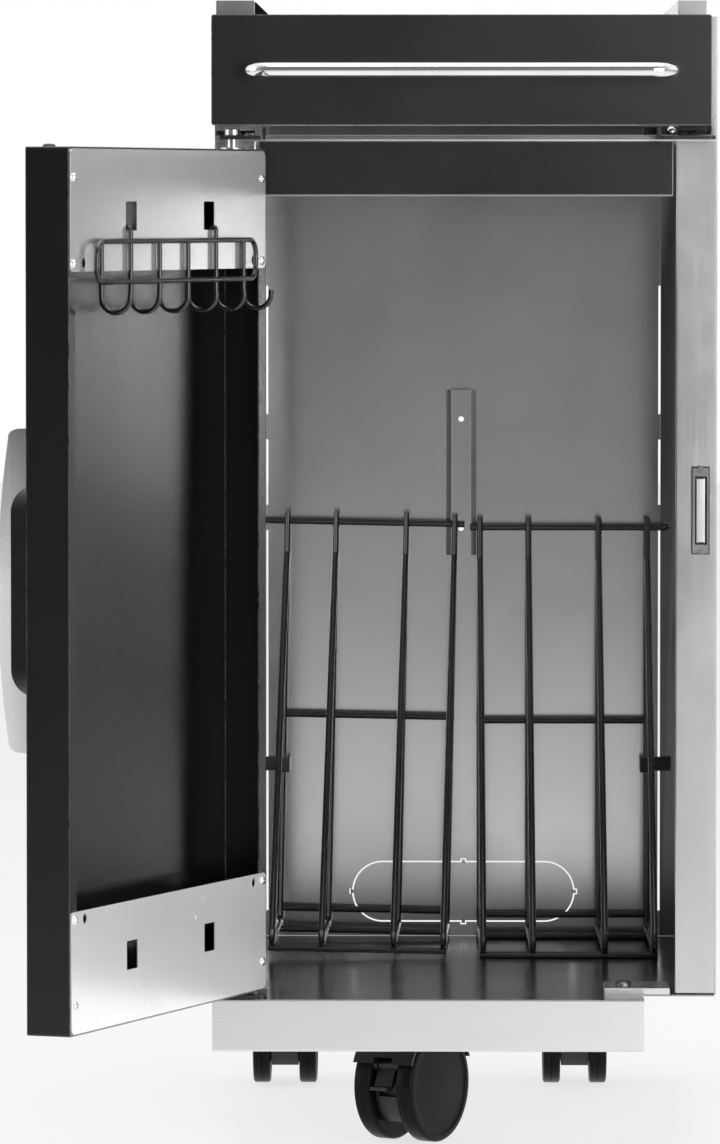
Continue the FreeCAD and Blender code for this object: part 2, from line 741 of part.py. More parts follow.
def worktop_rail(label, outer, edge, inward):
    """Box-fronted rail along one side that carries the worktop. Its foot is notched over a bracket."""
    body = new_body(label)
    web = f"({edge} - ({inward}) * sheet)"
    low = "top_plate_height"
    extrude(body, "XZ", "fascia_depth", "cabinet_depth - fascia_depth", [
        (outer, low), (edge, low), (edge, "counter_height"), (outer, "counter_height"),
        (outer, "counter_height - sheet"), (web, "counter_height - sheet"), (web, f"{low} + sheet"),
        (outer, f"{low} + sheet")])
    extrude(body, "XZ", "fascia_depth", "sheet", [
        (outer, low), (edge, low), (edge, "counter_height"), (outer, "counter_height")])
    ends_cut = sketch_on(body, "XZ", "fascia_depth")
    reach = f"({inward}) * rail_width_left"
    lines(ends_cut, [
        (f"{outer} - {reach}", f"{low} - fold"), (f"{edge} + {reach}", f"{low} - fold"),
        (f"{edge} + {reach}", f"{low} + rail_notch"), (f"{outer} - {reach}", f"{low} + rail_notch")])
    pocket(body, ends_cut, "hinge_plate_front + hinge_plate_reach + fold - fascia_depth")
    middle = f"(({outer}) + ({edge})) / 2"
    drill(body, "XY", "counter_height - sheet", "sheet", [
        (middle, "fascia_depth + rail_hole_inset"), (middle, "cabinet_depth - rail_hole_inset")],
        "rail_hole_radius")
    stand(body)


def rack_bracket():
    """Upright hat section on the back panel that the racks' top rails lean on."""
    body = new_body("rack_bracket")
    rear = "(cabinet_depth + sheet)"
    flange = f"({rear} - bracket_sheet)"
    front = f"({rear} - bracket_proud)"
    half = "(bracket_width / 2)"
    web = "(bracket_web / 2)"
    inner = f"({web} - bracket_sheet)"
    extrude(body, "XY", "bracket_bottom", "bracket_height", [
        (f"-{half}", rear), (f"-{half}", flange), (f"-{web}", flange), (f"-{web}", front),
        (web, front), (web, flange), (half, flange), (half, rear), (inner, rear),
        (inner, f"{front} + bracket_sheet"), (f"-{inner}", f"{front} + bracket_sheet"),
        (f"-{inner}", rear)])
    drill(body, "XZ", front, "bracket_sheet", BRACKET_HOLES, "bracket_hole_radius")
    stand(body)


def rack(label, side, reach):
    """Wire rack: four dividers, each one bent wire, welded to three rails behind and two below."""
    body = new_body(label)
    leg = "(weld - wire)"
    level = "(1.5 * wire - weld)"
    for spacing in ("rack_outer", "rack_inner"):
        for way in (-1, 1):
            wire(body, "YZ", f"({way}) * {spacing} / 2", [
                (leg, "rack_leg_top"), (leg, level), ("-rack_depth", level),
                (f"2 * {leg}", "rack_front_top")], "rack_bend", "wire / 2", yaw=f"({side}) * rack_splay")
    inner_end = f"-({side}) * (rack_outer / 2 + rack_rail_inner)"
    outer_end = f"({side}) * {reach}"
    wire(body, "XY", "rack_top_rail", [
        (inner_end, "0"), (outer_end, "0"), (outer_end, "rack_standoff + sheet - hook_gap")],
        "wire", "wire / 2")
    half = "(rack_outer / 2 + rail_end)"
    for height in ("rack_middle_rail", "rack_low_rail"):
        rod(body, "YZ", f"-{half}", f"2 * {half}", ("0", height), "wire / 2")
    for depth in ("(rack_bend + wire)", "(rack_depth - 2 * rack_bend)"):
        splay = f"({side}) * {depth} * sin(rack_splay)"
        rod(body, "YZ", f"{splay} - {half}", f"2 * {half}", (f"-{depth}", "wire / 2"), "wire / 2")
    return body


def racks():
    left = rack("left_rack", -1, LEFT_REACH)
    stand(left, "-rack_left_middle", RACK_Y, "floor_height + rack_left_lift", "rack_left_tilt",
          Vector(0, 1, 0))
    right = rack("right_rack", 1, RIGHT_REACH)
    stand(right, "rack_right_middle", RACK_Y, "floor_height")


def rack_clips():
    """Two plastic clips on the rear flanges, each round the outermost leg of a rack."""
    body = new_body("rack_clips")
    leg_y = f"({RACK_Y} - wire + weld)"
    half = "(wire / 2 + clip_wall)"
    legs = [(-1, LEFT_FLANGE, "(-rack_left_middle - rack_outer / 2 * cos(rack_left_tilt)"
             " + (clip_height - floor_height) * sin(rack_left_tilt))"),
            (1, RIGHT_FLANGE, "(rack_right_middle + rack_outer / 2)")]
    for side, flange, leg_x in legs:
        near = f"({leg_x} - ({side}) * {half})"
        far = f"({leg_x} + ({side}) * {half})"
        tab = f"({flange} + ({side}) * clip_reach)"
        extrude(body, "XY", "clip_height - clip_tall / 2", "clip_tall", [
            (near, f"{leg_y} - {half}"), (far, f"{leg_y} - {half}"), (far, "cabinet_depth - clip_wall"),
            (tab, "cabinet_depth - clip_wall"), (tab, "cabinet_depth"), (near, "cabinet_depth")])
        drill(body, "XY", "clip_height - clip_tall / 2", "clip_tall", [(leg_x, leg_y)],
              "wire / 2 + clip_clearance")
    stand(body)


def catch():
    """Magnetic catch: a cup through the right stile with a magnet strip in it."""
    front = "(stile_front - catch_proud)"
    housing = new_body("catch_housing")
    block(housing, front, "catch_proud + catch_depth", "catch_width", "catch_height")
    block(housing, "stile_front + sheet", "sheet", "catch_width + 2 * catch_flange",
          "catch_height + 2 * catch_flange")
    half = "catch_magnet_width / 2"
    tall = "catch_magnet_height / 2"
    cut_box(housing, "XZ", front, "catch_cup", f"{CATCH_X} - {half}", f"{CATCH_X} + {half}",
            f"catch_middle - {tall}", f"catch_middle + {tall}")
    stand(housing)
    magnet = new_body("catch_magnet")
    block(magnet, f"{front} + catch_recess", "catch_cup - catch_recess", "catch_magnet_width",
          "catch_magnet_height")
    stand(magnet)


def block(body, front, depth, width, height):
    left = f"({CATCH_X} - ({width}) / 2)"
    right = f"({CATCH_X} + ({width}) / 2)"
    low = f"(catch_middle - ({height}) / 2)"
    high = f"(catch_middle + ({height}) / 2)"
    extrude(body, "XZ", front, depth, [(left, low), (right, low), (right, high), (left, high)])


def top_bracket(label, outer, inward, width):
    """Plate on the cabinet's top that reaches forward over the door, with one edge turned up."""
    body = new_body(label)
    inner = f"({outer} + ({inward}) * {width})"
    rear = "(hinge_plate_front + hinge_plate_reach)"
    extrude(body, "XY", "top_plate_height", "bracket_plate", [
        (outer, "hinge_plate_front"), (inner, "hinge_plate_front"), (inner, rear), (outer, rear)],
        rounds={0: "hinge_plate_corner", 1: "hinge_plate_corner"})
    fold_edge = f"({inner} - ({inward}) * bracket_plate)"
    extrude(body, "XY", "top_plate_height", "hinge_flange", [
        (fold_edge, "hinge_plate_front + hinge_plate_corner"),
        (inner, "hinge_plate_front + hinge_plate_corner"), (inner, rear), (fold_edge, rear)])
    drill(body, "XY", "top_plate_height", "bracket_plate",
          [(f"{outer} + ({inward}) * {inset}", "bracket_screw_depth")
           for inset in ("bracket_near_screw", "bracket_far_screw")],
          "bracket_screw_radius + screw_clearance")
    return body


def brackets():
    left = top_bracket("left_top_bracket", BRACKET_LEFT, 1, "hinge_plate_width")
    drill(left, "XY", "top_plate_height", "bracket_plate", [(PIVOT_X, "pivot_depth")], "pivot_radius")
    stand(left)
    stand(top_bracket("right_top_bracket", BRACKET_RIGHT, -1, "spare_plate_width"))
    lower = new_body("lower_hinge_bracket")
    inner = f"({BRACKET_LEFT} + hinge_plate_width)"
    rear = "(hinge_plate_front + hinge_plate_reach)"
    extrude(lower, "XY", "floor_height", "bracket_plate", [
        (BRACKET_LEFT, "hinge_plate_front"), (inner, "hinge_plate_front"), (inner, rear),
        (BRACKET_LEFT, rear)], rounds={0: "hinge_plate_corner", 1: "hinge_plate_corner"})
    drill(lower, "XY", "floor_height", "bracket_plate", LOWER_SCREWS,
          "bracket_screw_radius + screw_clearance")
    drill(lower, "XY", "floor_height", "bracket_plate", [(PIVOT_X, "pivot_depth")], "pivot_radius")
    stand(lower)
    screws = new_body("bracket_screws")
    for places, level in ((TOP_SCREWS, "top_plate_height"), (LOWER_SCREWS, "floor_height")):
        for place in places:
            rod(screws, "XY", f"{level} - bracket_screw_tail", "bracket_screw_tail + bracket_plate",
                place, "bracket_screw_radius")
            rod(screws, "XY", f"{level} + bracket_plate", "bracket_screw_height", place,
                "bracket_screw_head")
    stand(screws)


def hinge_pins():
    """Headed pin down through the top bracket, shouldered pin up from the lower one."""
    body = new_body("hinge_pins")
    place = (PIVOT_X, "pivot_depth")
    seat = "(top_plate_height + bracket_plate)"
    low = f"({DOOR_TOP} - pivot_engagement)"
    rod(body, "XY", low, f"{seat} - {low}", place, "pivot_radius")
    rod(body, "XY", seat, "pivot_head_height", place, "pivot_head_radius")
    rod(body, "XY", "floor_height", "door_bottom - floor_height + pivot_engagement", place,
        "pivot_radius")
    rod(body, "XY", "floor_height + bracket_plate", "pivot_shoulder", place, "pivot_head_radius")
    stand(body)


def joining_plate():
    """Turned-edge plate that bolts this bay's floor to its neighbour's, and its bolt."""
    plate = new_body("joining_plate")
    right = f"({RIGHT_IN} - joint_plate_inset)"
    rear = "(joint_plate_front + joint_plate_depth)"
    top = "(floor_height + joint_plate_height)"
    under = f"({top} - joint_plate_thickness)"
    near_edge = "(joint_plate_front + joint_plate_thickness)"
    far_edge = f"({rear} - joint_plate_thickness)"
    extrude(plate, "YZ", f"{right} - joint_plate_width", "joint_plate_width", [
        ("joint_plate_front", "floor_height"), (near_edge, "floor_height"), (near_edge, under),
        (far_edge, under), (far_edge, "floor_height"), (rear, "floor_height"), (rear, top),
        ("joint_plate_front", top)])
    drill(plate, "XY", under, "joint_plate_thickness", [JOINT_BOLT],
          "joint_bolt_radius + bolt_clearance")
    stand(plate)
    bolt = new_body("joining_bolt")
    low = "(floor_height - joint_bolt_tail)"
    rod(bolt, "XY", low, f"{top} - {low}", JOINT_BOLT, "joint_bolt_radius")
    hexagon(bolt, "XY", top, "joint_bolt_head_height", JOINT_BOLT, "joint_bolt_head_radius")
    stand(bolt)


def caster_plates():
    """A plate under the channel at each caster, with the socket its stem turns in, and the bolts."""
    plates = new_body("caster_plates")
    bolts = new_body("caster_bolts")
    half = "plate_size / 2"
    spread = "plate_bolt_spacing / 2"
    for x, y in CASTERS.values():
        sketch = sketch_on(plates, "XY", "plate_height")
        box_lines(sketch, f"{x} - {half}", f"{x} + {half}", f"{y} - {half}", f"{y} + {half}",
                  "plate_corner")
        pad(plates, sketch, "plate_thickness")
        rod(plates, "XY", "plate_height", "plate_thickness + socket_height", (x, y), "socket_radius")
        drill(plates, "XY", "plate_height", "plate_thickness + socket_height", [(x, y)],
              "stem_radius + stem_clearance")
        places = [(f"{x} + ({i}) * {spread}", f"{y} + ({j}) * {spread}")
                  for i in (-1, 1) for j in (-1, 1)]
        drill(plates, "XY", "plate_height", "plate_thickness", places, "bolt_radius + bolt_clearance")
        for place in places:
            seat = f"({CHANNEL_WEB} + channel_sheet)"
            rod(bolts, "XY", "plate_height", f"{seat} - plate_height + nut_height + bolt_end", place,
                "bolt_radius")
            rod(bolts, "XY", "plate_height - bolt_head_height", "bolt_head_height", place,
                "bolt_head_radius")
            hexagon(bolts, "XY", seat, "nut_height", place, "bolt_head_radius")
    stand(plates)
    stand(bolts)


def stand_door(body):
    """Door pieces are drawn shut, about the hinge line, and placed swung open as in the photo."""
    stand(body, PIVOT_X, "pivot_depth", "0", "-open_angle")


def door_pan():
    body = new_body("door_pan")
    pan(body, "(-pivot_inset)", "(front_width - pivot_inset)", "door_bottom", DOOR_TOP,
        "(-pivot_depth)", "front_depth")
    for level in (f"{DOOR_TOP} - sheet", "door_bottom"):
        drill(body, "XY", level, "sheet", [("0", "0")], "bush_radius")
    drill(body, "XZ", f"{DOOR_BACK} - sheet", "sheet",
          liner_screw_places("upper") + liner_screw_places("lower"), "screw_radius + screw_clearance")
    drill(body, "XZ", "-pivot_depth", "sheet", handle_screw_places(), "screw_radius + screw_clearance")
    stand_door(body)


def liner_levels(which):
    """Outer edge, inner edge and the direction from outer to inner, for one liner."""
    if which == "upper":
        outer = f"({DOOR_TOP} - liner_margin)"
        return outer, f"({outer} - liner_height)", -1
    outer = "(door_bottom + liner_margin)"
    return outer, f"({outer} + liner_height)", 1


def liner_screw_places(which):
    outer, inner, way = liner_levels(which)
    reach = f"({HALF_FRONT} - liner_margin - liner_screw_inset)"
    levels = (f"{outer} + ({way}) * liner_screw_outer", f"{inner} - ({way}) * liner_screw_inner")
    return [(f"{DOOR_MIDDLE} + ({side}) * {reach}", level) for side in (-1, 1) for level in levels]


def handle_screw_places():
    middle = "(door_bottom + door_height / 2)"
    across = "(front_width - pivot_inset - handle_inset)"
    return [(across, f"{middle} + ({side}) * handle_screw_span / 2") for side in (-1, 1)]


def liner(which):
    """Bright strip across the back of the door, slotted for hooks and screwed to the lips."""
    body = new_body(f"{which}_liner")
    outer, inner, way = liner_levels(which)
    reach = f"({HALF_FRONT} - liner_margin)"
    sketch = sketch_on(body, "XZ", DOOR_BACK)
    low, high = (inner, outer) if way < 0 else (outer, inner)
    box_lines(sketch, f"{DOOR_MIDDLE} - {reach}", f"{DOOR_MIDDLE} + {reach}", low, high,
              "liner_corner")
    pad(body, sketch, "thin_sheet")
    outer_end = DOOR_TOP if way < 0 else "door_bottom"
    for side in (-1, 1):
        across = f"({DOOR_MIDDLE} + ({side}) * slot_spacing / 2)"
        level = f"({outer_end} + ({way}) * slot_from_end)"
        cut_box(body, "XZ", DOOR_BACK, "thin_sheet", f"{across} - slot_size / 2",
                f"{across} + slot_size / 2", f"{level} - slot_size / 2", f"{level} + slot_size / 2")
    drill(body, "XZ", DOOR_BACK, "thin_sheet",
          [(f"{DOOR_MIDDLE} + ({side}) * ({reach} - liner_hole_inset)",
            f"{inner} - ({way}) * liner_hole_rise") for side in (-1, 1)], "liner_hole_radius")
    drill(body, "XZ", DOOR_BACK, "thin_sheet", liner_screw_places(which),
          "screw_radius + screw_clearance")
    stand_door(body)


def door_screws():
    body = new_body("liner_screws")
    face = f"({DOOR_BACK} + thin_sheet)"
    for place in liner_screw_places("upper") + liner_screw_places("lower"):
        rod(body, "XZ", f"{face} - screw_length", "screw_length", place, "screw_radius")
        rod(body, "XZ", face, "screw_head_height", place, "screw_head_radius")
    stand_door(body)
    body = new_body("handle_screws")
    face = "(sheet - pivot_depth)"
    for place in handle_screw_places():
        rod(body, "XZ", "-pivot_depth - handle_screw_depth", "handle_screw_depth + sheet", place,
            "screw_radius")
        rod(body, "XZ", face, "screw_head_height", place, "screw_head_radius")
    stand_door(body)


def door_handle():
    """Arched strap: one long shallow arc outside, a shorter opening with rounded throats inside."""
    body = new_body("door_handle")
    face = "(-pivot_depth)"
    middle = "(door_bottom + door_height / 2)"
    end = f"({face} - handle_end_proud)"
    crown = f"({face} - handle_proud - handle_crown)"
    inside = f"({face} - handle_proud + handle_bar)"
    half = "(handle_length / 2)"
    mouth = "(handle_opening / 2)"
    slope = f"atan((handle_proud + handle_crown - handle_end_proud) / {half})"
    start = "front_width - pivot_inset - handle_inset - handle_width / 2"
    extrude(body, "YZ", start, "handle_width", [
        (face, f"{middle} - {half}"), (end, f"{middle} - {half}"), (crown, middle),
        (end, f"{middle} + {half}"), (face, f"{middle} + {half}"), (face, f"{middle} + {mouth}"),
        (inside, f"{middle} + {mouth} - handle_splay"), (inside, f"{middle} - {mouth} + handle_splay"),
        (face, f"{middle} - {mouth}")],
        rounds={1: "handle_edge", 2: f"handle_crown / (1 / cos({slope}) - 1)", 3: "handle_edge",
                6: "handle_throat", 7: "handle_throat"})
    drill(body, "XZ", f"{face} - handle_screw_depth - sheet", "handle_screw_depth + sheet",
          handle_screw_places(), "screw_radius + screw_clearance")
    stand_door(body)


def hinge_bushes():
    """Flanged bushes in the door's top and bottom walls."""
    body = new_body("hinge_bushes")
    centre = ("0", "0")
    for level, flange_low in ((f"{DOOR_TOP} - bush_length", DOOR_TOP),
                              ("door_bottom", "door_bottom - bush_flange")):
        rod(body, "XY", level, "bush_length", centre, "bush_radius")
        rod(body, "XY", flange_low, "bush_flange", centre, "bush_flange_radius")
        low = f"({level} - bush_flange)"
        drill(body, "XY", low, "bush_length + 2 * bush_flange", [centre],
              "pivot_radius + pivot_clearance")
    stand_door(body)


def hook_rack():
    """Six J hooks welded behind a long ring. Two of them rise through the liner's slots and drop
    behind it, so that the rack lifts off."""
    body = new_body("hook_rack")
    stem = f"({DOOR_BACK} + thin_sheet + hook_gap + hook_wire / 2)"
    ring = f"({stem} + hook_wire - hook_weld)"
    half = "(hook_ring_length / 2)"
    low = "(hook_ring_top - hook_ring_height)"
    left = f"({DOOR_MIDDLE} - {half})"
    right = f"({DOOR_MIDDLE} + {half})"
    wire(body, "XZ", ring, [(left, low), (right, low), (right, "hook_ring_top"),
                            (left, "hook_ring_top"), (left, low)], "hook_ring_corner", "hook_wire / 2")
    tip = f"({stem} + hook_reach)"
    crest = f"({SLOT_LEVEL} - slot_size / 2 + hook_wire / 2 + hook_gap)"
    tail = f"({DOOR_BACK} - hook_gap - hook_wire / 2)"
    for step in (-2.5, -1.5, -0.5, 0.5, 1.5, 2.5):
        across = f"{DOOR_MIDDLE} + ({step}) * hook_pitch"
        hook = [(stem, "hook_bottom"), (tip, "hook_bottom"), (tip, "hook_tip")]
        if abs(step) == 1.5:
            bend = f"(({stem} - {tail}) / 2 - 0.1)"
            rise = [(tail, f"{crest} - hook_tail"), (tail, crest), (stem, crest)]
            hook_wire(body, across, rise + hook, {1: bend, 2: bend, 3: HOOK_BEND, 4: HOOK_BEND})
        else:
            hook_wire(body, across, [(stem, "hook_ring_top + hook_wire / 2")] + hook,
                      {1: HOOK_BEND, 2: HOOK_BEND})
    stand_door(body)


HOOK_BEND = "(hook_reach / 2 - 0.25)"


def hook_wire(body, across, points, rounds):
    path = sketch_on(body, "YZ", across)
    lines(path, points, closed=False, rounds=rounds)
    profile = sketch_on(body, "XY", points[0][1])
    circle(profile, (across, points[0][0]), "hook_wire / 2")
    feature = body.newObject("PartDesign::AdditivePipe", "bent_wire")
    feature.Profile = profile
    feature.Spine = (path, [])


def caster(name):
    """Twin-wheel swivel caster: hooded housing, stem, axle and two wheels. The front one has a
    brake lever between its wheels."""
    x, y = CASTERS[name]
    turn = "-caster_swivel" if name == "front" else "180"
    braked = name == "front"
    hood = new_body(f"{name}_caster_hood")
    hub = ("-caster_trail", "wheel_radius")
    whole = f"({CASTER_WIDTH})"
    inner = "(wheel_radius + fender_gap)"
    rod(hood, "YZ", f"-{whole} / 2", whole, hub, f"{inner} + fender_thickness")
    cut_box(hood, "YZ", f"-{whole} / 2", whole, "-caster_trail - 2 * wheel_radius",
            "2 * wheel_radius", "-wheel_radius", "fender_start")
    cheek = f"(({whole} - housing_width) / 2)"
    for start in (f"-{whole} / 2", "housing_width / 2"):
        drill(hood, "YZ", start, cheek, [hub], inner)
    rod(hood, "YZ", "-housing_width / 2", "housing_width", hub, "housing_radius")
    cut_box(hood, "YZ", "-housing_width / 2", "housing_width", "-caster_trail - wheel_radius",
            "wheel_radius", "-wheel_radius", "housing_floor")
    rod(hood, "XY", "boss_top - boss_height", "boss_height", ("0", "0"), "boss_radius")
    if braked:
        lever_seat(hood)
    drill(hood, "XY", "stem_bottom", "boss_top - stem_bottom", [("0", "0")], "stem_radius")
    drill(hood, "YZ", "-housing_width / 2", "housing_width", [hub], "axle_radius")
    stem = new_body(f"{name}_caster_stem")
    socket_top = "(plate_height + plate_thickness + socket_height)"
    rod(stem, "XY", "stem_bottom", f"{socket_top} - stem_end_gap - stem_bottom", ("0", "0"),
        "stem_radius")
    rod(stem, "XY", "boss_top", "stem_collar", ("0", "0"), "stem_collar_radius")
    axle = new_body(f"{name}_caster_axle")
    half = f"({whole} / 2 + cap_gap)"
    rod(axle, "YZ", f"-{half}", f"2 * {half}", hub, "axle_radius")
    for start in (f"-{half} - cap_thickness", half):
        rod(axle, "YZ", start, "cap_thickness", hub, "cap_radius")
    pieces = [hood, stem, axle, wheel(name, "left", -1), wheel(name, "right", 1)]
    if braked:
        pieces.append(brake_lever())
    for piece in pieces:
        stand(piece, x, y, "0", turn)


def wheel(name, hand, side):
    """One wheel: rounded tread, recessed face between rim and hub, bored to run on the axle."""
    body = new_body(f"{name}_caster_wheel_{hand}")
    near, far = "wheel_gap / 2", "(wheel_gap / 2 + wheel_width)"
    outline = [(near, "axle_radius + axle_clearance"), (far, "axle_radius + axle_clearance"),
               (far, "hub_radius"), (f"{far} - hub_recess", "hub_radius"),
               (f"{far} - hub_recess", "rim_radius"), (far, "rim_radius"),
               (far, "wheel_radius - wheel_edge"), (f"{far} - wheel_edge", "wheel_radius"),
               (f"{near} + wheel_edge", "wheel_radius"), (near, "wheel_radius - wheel_edge")]
    turned(body, "XZ", "-caster_trail", [(f"({side}) * ({x})", f"wheel_radius + {radius}")
                                         for x, radius in outline], "wheel_radius")
    return body


def lever_seat(hood):
    """Cheeks, slot and cross pin for the brake lever."""
    pivot = (LEVER_Y, LEVER_Z)
    rod(hood, "YZ", "-housing_width / 2", "housing_width", pivot, "lever_lug_radius")
    slot = "(lever_width + 2 * lever_side_gap)"
    cut_box(hood, "YZ", f"-{slot} / 2", slot, f"{LEVER_Y} - wheel_radius",
            f"{LEVER_Y} + lever_slot_depth", "lever_slot_low", "lever_slot_high")
    rod(hood, "YZ", "-housing_width / 2", "housing_width", pivot, "lever_pin_radius")


def brake_lever():
    body = new_body("brake_lever")
    half = "lever_thickness / 2"
    foot_y = f"({LEVER_Y} - lever_out)"
    foot_z = f"({LEVER_Z} - lever_fall)"
    rod(body, "YZ", "-lever_width / 2", "lever_width", (LEVER_Y, LEVER_Z), "lever_eye_radius")
    extrude(body, "YZ", "-lever_width / 2", "lever_width", [
        (f"{LEVER_Y} + {half}", LEVER_Z), (f"{LEVER_Y} - {half}", LEVER_Z),
        (f"{foot_y} - {half}", f"{foot_z} + lever_thickness"),
        (f"{foot_y} - lever_pedal", f"{foot_z} + lever_thickness"),
        (f"{foot_y} - lever_pedal", foot_z), (f"{foot_y} + {half}", foot_z)])
    drill(body, "YZ", "-lever_width / 2", "lever_width", [(LEVER_Y, LEVER_Z)],
          "lever_pin_radius + pivot_clearance")
    return body


def build():
    plinth_width = f"plinth_right + {HALF_FRONT}"
    floor_pan()
    c_rail("base_front_rail", PLINTH_LEFT, plinth_width, "0", "plinth_flange",
           "(floor_height - plinth_drop)", FLOOR_UNDER)
    base_side_rail("base_left_rail", PLINTH_LEFT, 1)
    base_side_rail("base_right_rail", "plinth_right", -1)
    base_rear_rail()
    cross_channel("front_cross_channel", ["front"])
    cross_channel("rear_cross_channel", ["rear_left", "rear_right"])
    side_panel("left_side_panel", "(-side_left)", 1, "rear_flange_left",
               (LEFT_HOOK, f"{LEFT_HOOK_HEIGHT} + rack_hole_clearance"))
    side_panel("right_side_panel", "side_right", -1, "rear_flange_right",
               (RIGHT_HOOK, f"{RIGHT_HOOK_HEIGHT} + rack_hole_clearance"))
    stile("left_stile", LEFT_IN, 1, "stile_lift_left")
    stile("right_stile", RIGHT_IN, -1, "stile_lift_right", catch=True)
    back_panel()
    top_plate()
    c_rail("header_rail", f"{LEFT_STILE} + header_gap", f"{RIGHT_STILE} - {LEFT_STILE} - 2 * header_gap",
           "stile_front", "header_return", f"({TOP_UNDER} - header_drop)", TOP_UNDER)
    fascia()
    towel_bar()
    worktop_rail("left_worktop_rail", LEFT_IN, RAIL_LEFT_EDGE, 1)
    worktop_rail("right_worktop_rail", RAIL_RIGHT_OUTER, RAIL_RIGHT_EDGE, -1)
    c_rail("rear_top_rail", RAIL_LEFT_EDGE, f"{RAIL_RIGHT_EDGE} - {RAIL_LEFT_EDGE}",
           "(cabinet_depth - plinth_flange)", "plinth_flange", "top_plate_height",
           "(top_plate_height + rear_rail_height)")
    rack_bracket()
    racks()
    rack_clips()
    catch()
    brackets()
    hinge_pins()
    joining_plate()
    caster_plates()
    door_pan()
    liner("upper")
    liner("lower")
    door_screws()
    door_handle()
    hinge_bushes()
    hook_rack()
    for name in CASTERS:
        caster(name)


def centre_frame():
    """Shift every body so that the frame's origin is the middle of the footprint."""
    box = FreeCAD.BoundBox()
    for body in nodes.values():
        box.add(body.Shape.BoundBox)
    for alias, middle in (("frame_x", box.Center.x), ("frame_y", box.Center.y)):
        sizes.set(sizes.getCellFromAlias(alias), str(round(-middle, 3)))
    doc.recompute()


def check_and_export():
    for item in doc.Objects:
        if "Invalid" in item.State or "Error" in item.State:
            raise RuntimeError(f"{item.Label} did not recompute: {item.State}")
    os.makedirs("parts", exist_ok=True)
    for label, body in nodes.items():
        if body.Shape.isNull() or not body.Shape.isValid():
            raise RuntimeError(f"{label} has no valid shape")
        body.Shape.exportStep(f"parts/{label}.step")


build()
doc.recompute()
centre_frame()
check_and_export()
print(len(nodes), "nodes written")
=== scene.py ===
# %% [markdown]
# # A storage bay of a rolling grill cart
#
# The real object is folded from thin steel sheet: a stainless box on casters, a charcoal door and
# fascia, bent wire racks at the back and a row of tool hooks inside the door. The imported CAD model
# fixes every size and place. This lesson keeps those and gives each piece the folds, edges,
# fasteners and finishes that catch the light on the real one.

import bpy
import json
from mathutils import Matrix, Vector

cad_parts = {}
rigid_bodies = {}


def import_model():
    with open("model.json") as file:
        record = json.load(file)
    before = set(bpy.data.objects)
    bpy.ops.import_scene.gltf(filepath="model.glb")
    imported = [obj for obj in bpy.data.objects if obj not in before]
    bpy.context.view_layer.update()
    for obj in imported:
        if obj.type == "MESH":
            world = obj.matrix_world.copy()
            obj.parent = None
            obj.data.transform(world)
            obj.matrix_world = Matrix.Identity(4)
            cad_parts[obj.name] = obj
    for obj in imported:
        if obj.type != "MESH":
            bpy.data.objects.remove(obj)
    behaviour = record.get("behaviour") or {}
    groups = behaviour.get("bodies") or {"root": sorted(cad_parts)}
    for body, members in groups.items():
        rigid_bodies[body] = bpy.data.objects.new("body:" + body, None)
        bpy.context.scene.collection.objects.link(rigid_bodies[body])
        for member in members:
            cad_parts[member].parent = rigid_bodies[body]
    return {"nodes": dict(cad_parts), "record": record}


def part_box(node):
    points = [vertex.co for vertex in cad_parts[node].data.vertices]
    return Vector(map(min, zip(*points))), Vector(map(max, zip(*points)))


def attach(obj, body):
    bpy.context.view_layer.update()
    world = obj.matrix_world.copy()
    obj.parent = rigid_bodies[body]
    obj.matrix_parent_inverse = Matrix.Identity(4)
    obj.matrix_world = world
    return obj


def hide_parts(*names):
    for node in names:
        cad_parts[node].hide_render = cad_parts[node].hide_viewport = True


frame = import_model()
nodes = frame["nodes"]
body_of = {name: body for body, names in frame["record"]["behaviour"]["bodies"].items()
           for name in names}
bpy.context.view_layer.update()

# %% [markdown]
# A few short tools come first. An operator acts on everything that is selected, so each of them
# starts by clearing the selection. Millimetres are easier to read than metres on sheet metal, so
# sizes are written in them and multiplied by `MM`.

# %% Small tools
import json
import math

import bpy
from mathutils import Vector

MM = 0.001


def only(*pieces):
    """Select these pieces alone, the last one active."""
    for item in bpy.context.selected_objects:
        item.select_set(False)
    for piece in pieces:
        piece.select_set(True)
        bpy.context.view_layer.objects.active = piece


def choose(piece, kind="FACE", test=lambda place, way: True):
    """In edit mode, select a piece's vertices, edges or faces whose middle passes a test."""
    only(piece)
    bpy.ops.object.mode_set(mode="EDIT")
    bpy.ops.mesh.select_mode(type=kind)
    bpy.ops.mesh.select_all(action="DESELECT")
    bpy.ops.object.mode_set(mode="OBJECT")
    mesh = piece.data
    found = {"VERT": mesh.vertices, "EDGE": mesh.edges, "FACE": mesh.polygons}[kind]
    for part in found:
        if kind == "VERT":
            part.select = test(part.co, None)
        elif kind == "EDGE":
            start, end = (mesh.vertices[index].co for index in part.vertices)
            part.select = test((start + end) / 2, end - start)
        else:
            part.select = test(part.center, part.normal)
    bpy.ops.object.mode_set(mode="EDIT")


def leave():
    """Go back to object mode."""
    bpy.ops.object.mode_set(mode="OBJECT")


def middle(points):
    """The middle of the box round some points."""
    low = Vector(min(point[axis] for point in points) for axis in range(3))
    high = Vector(max(point[axis] for point in points) for axis in range(3))
    return (low + high) / 2


def box_middle(node):
    return middle(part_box(node))


def settle(piece):
    """Write a piece's place, turn and size into its mesh."""
    only(piece)
    bpy.ops.object.transform_apply(location=True, rotation=True, scale=True)


def change(piece, kind, **settings):
    """Give a piece a modifier with these settings and apply it."""
    modifier = piece.modifiers.new(kind.lower(), kind)
    for key, value in settings.items():
        setattr(modifier, key, value)
    only(piece)
    bpy.ops.object.modifier_apply(modifier=modifier.name)


def copy_of(piece, name):
    """A copy with a mesh of its own."""
    twin = piece.copy()
    twin.data = piece.data.copy()
    twin.name = name
    bpy.context.scene.collection.objects.link(twin)
    return twin


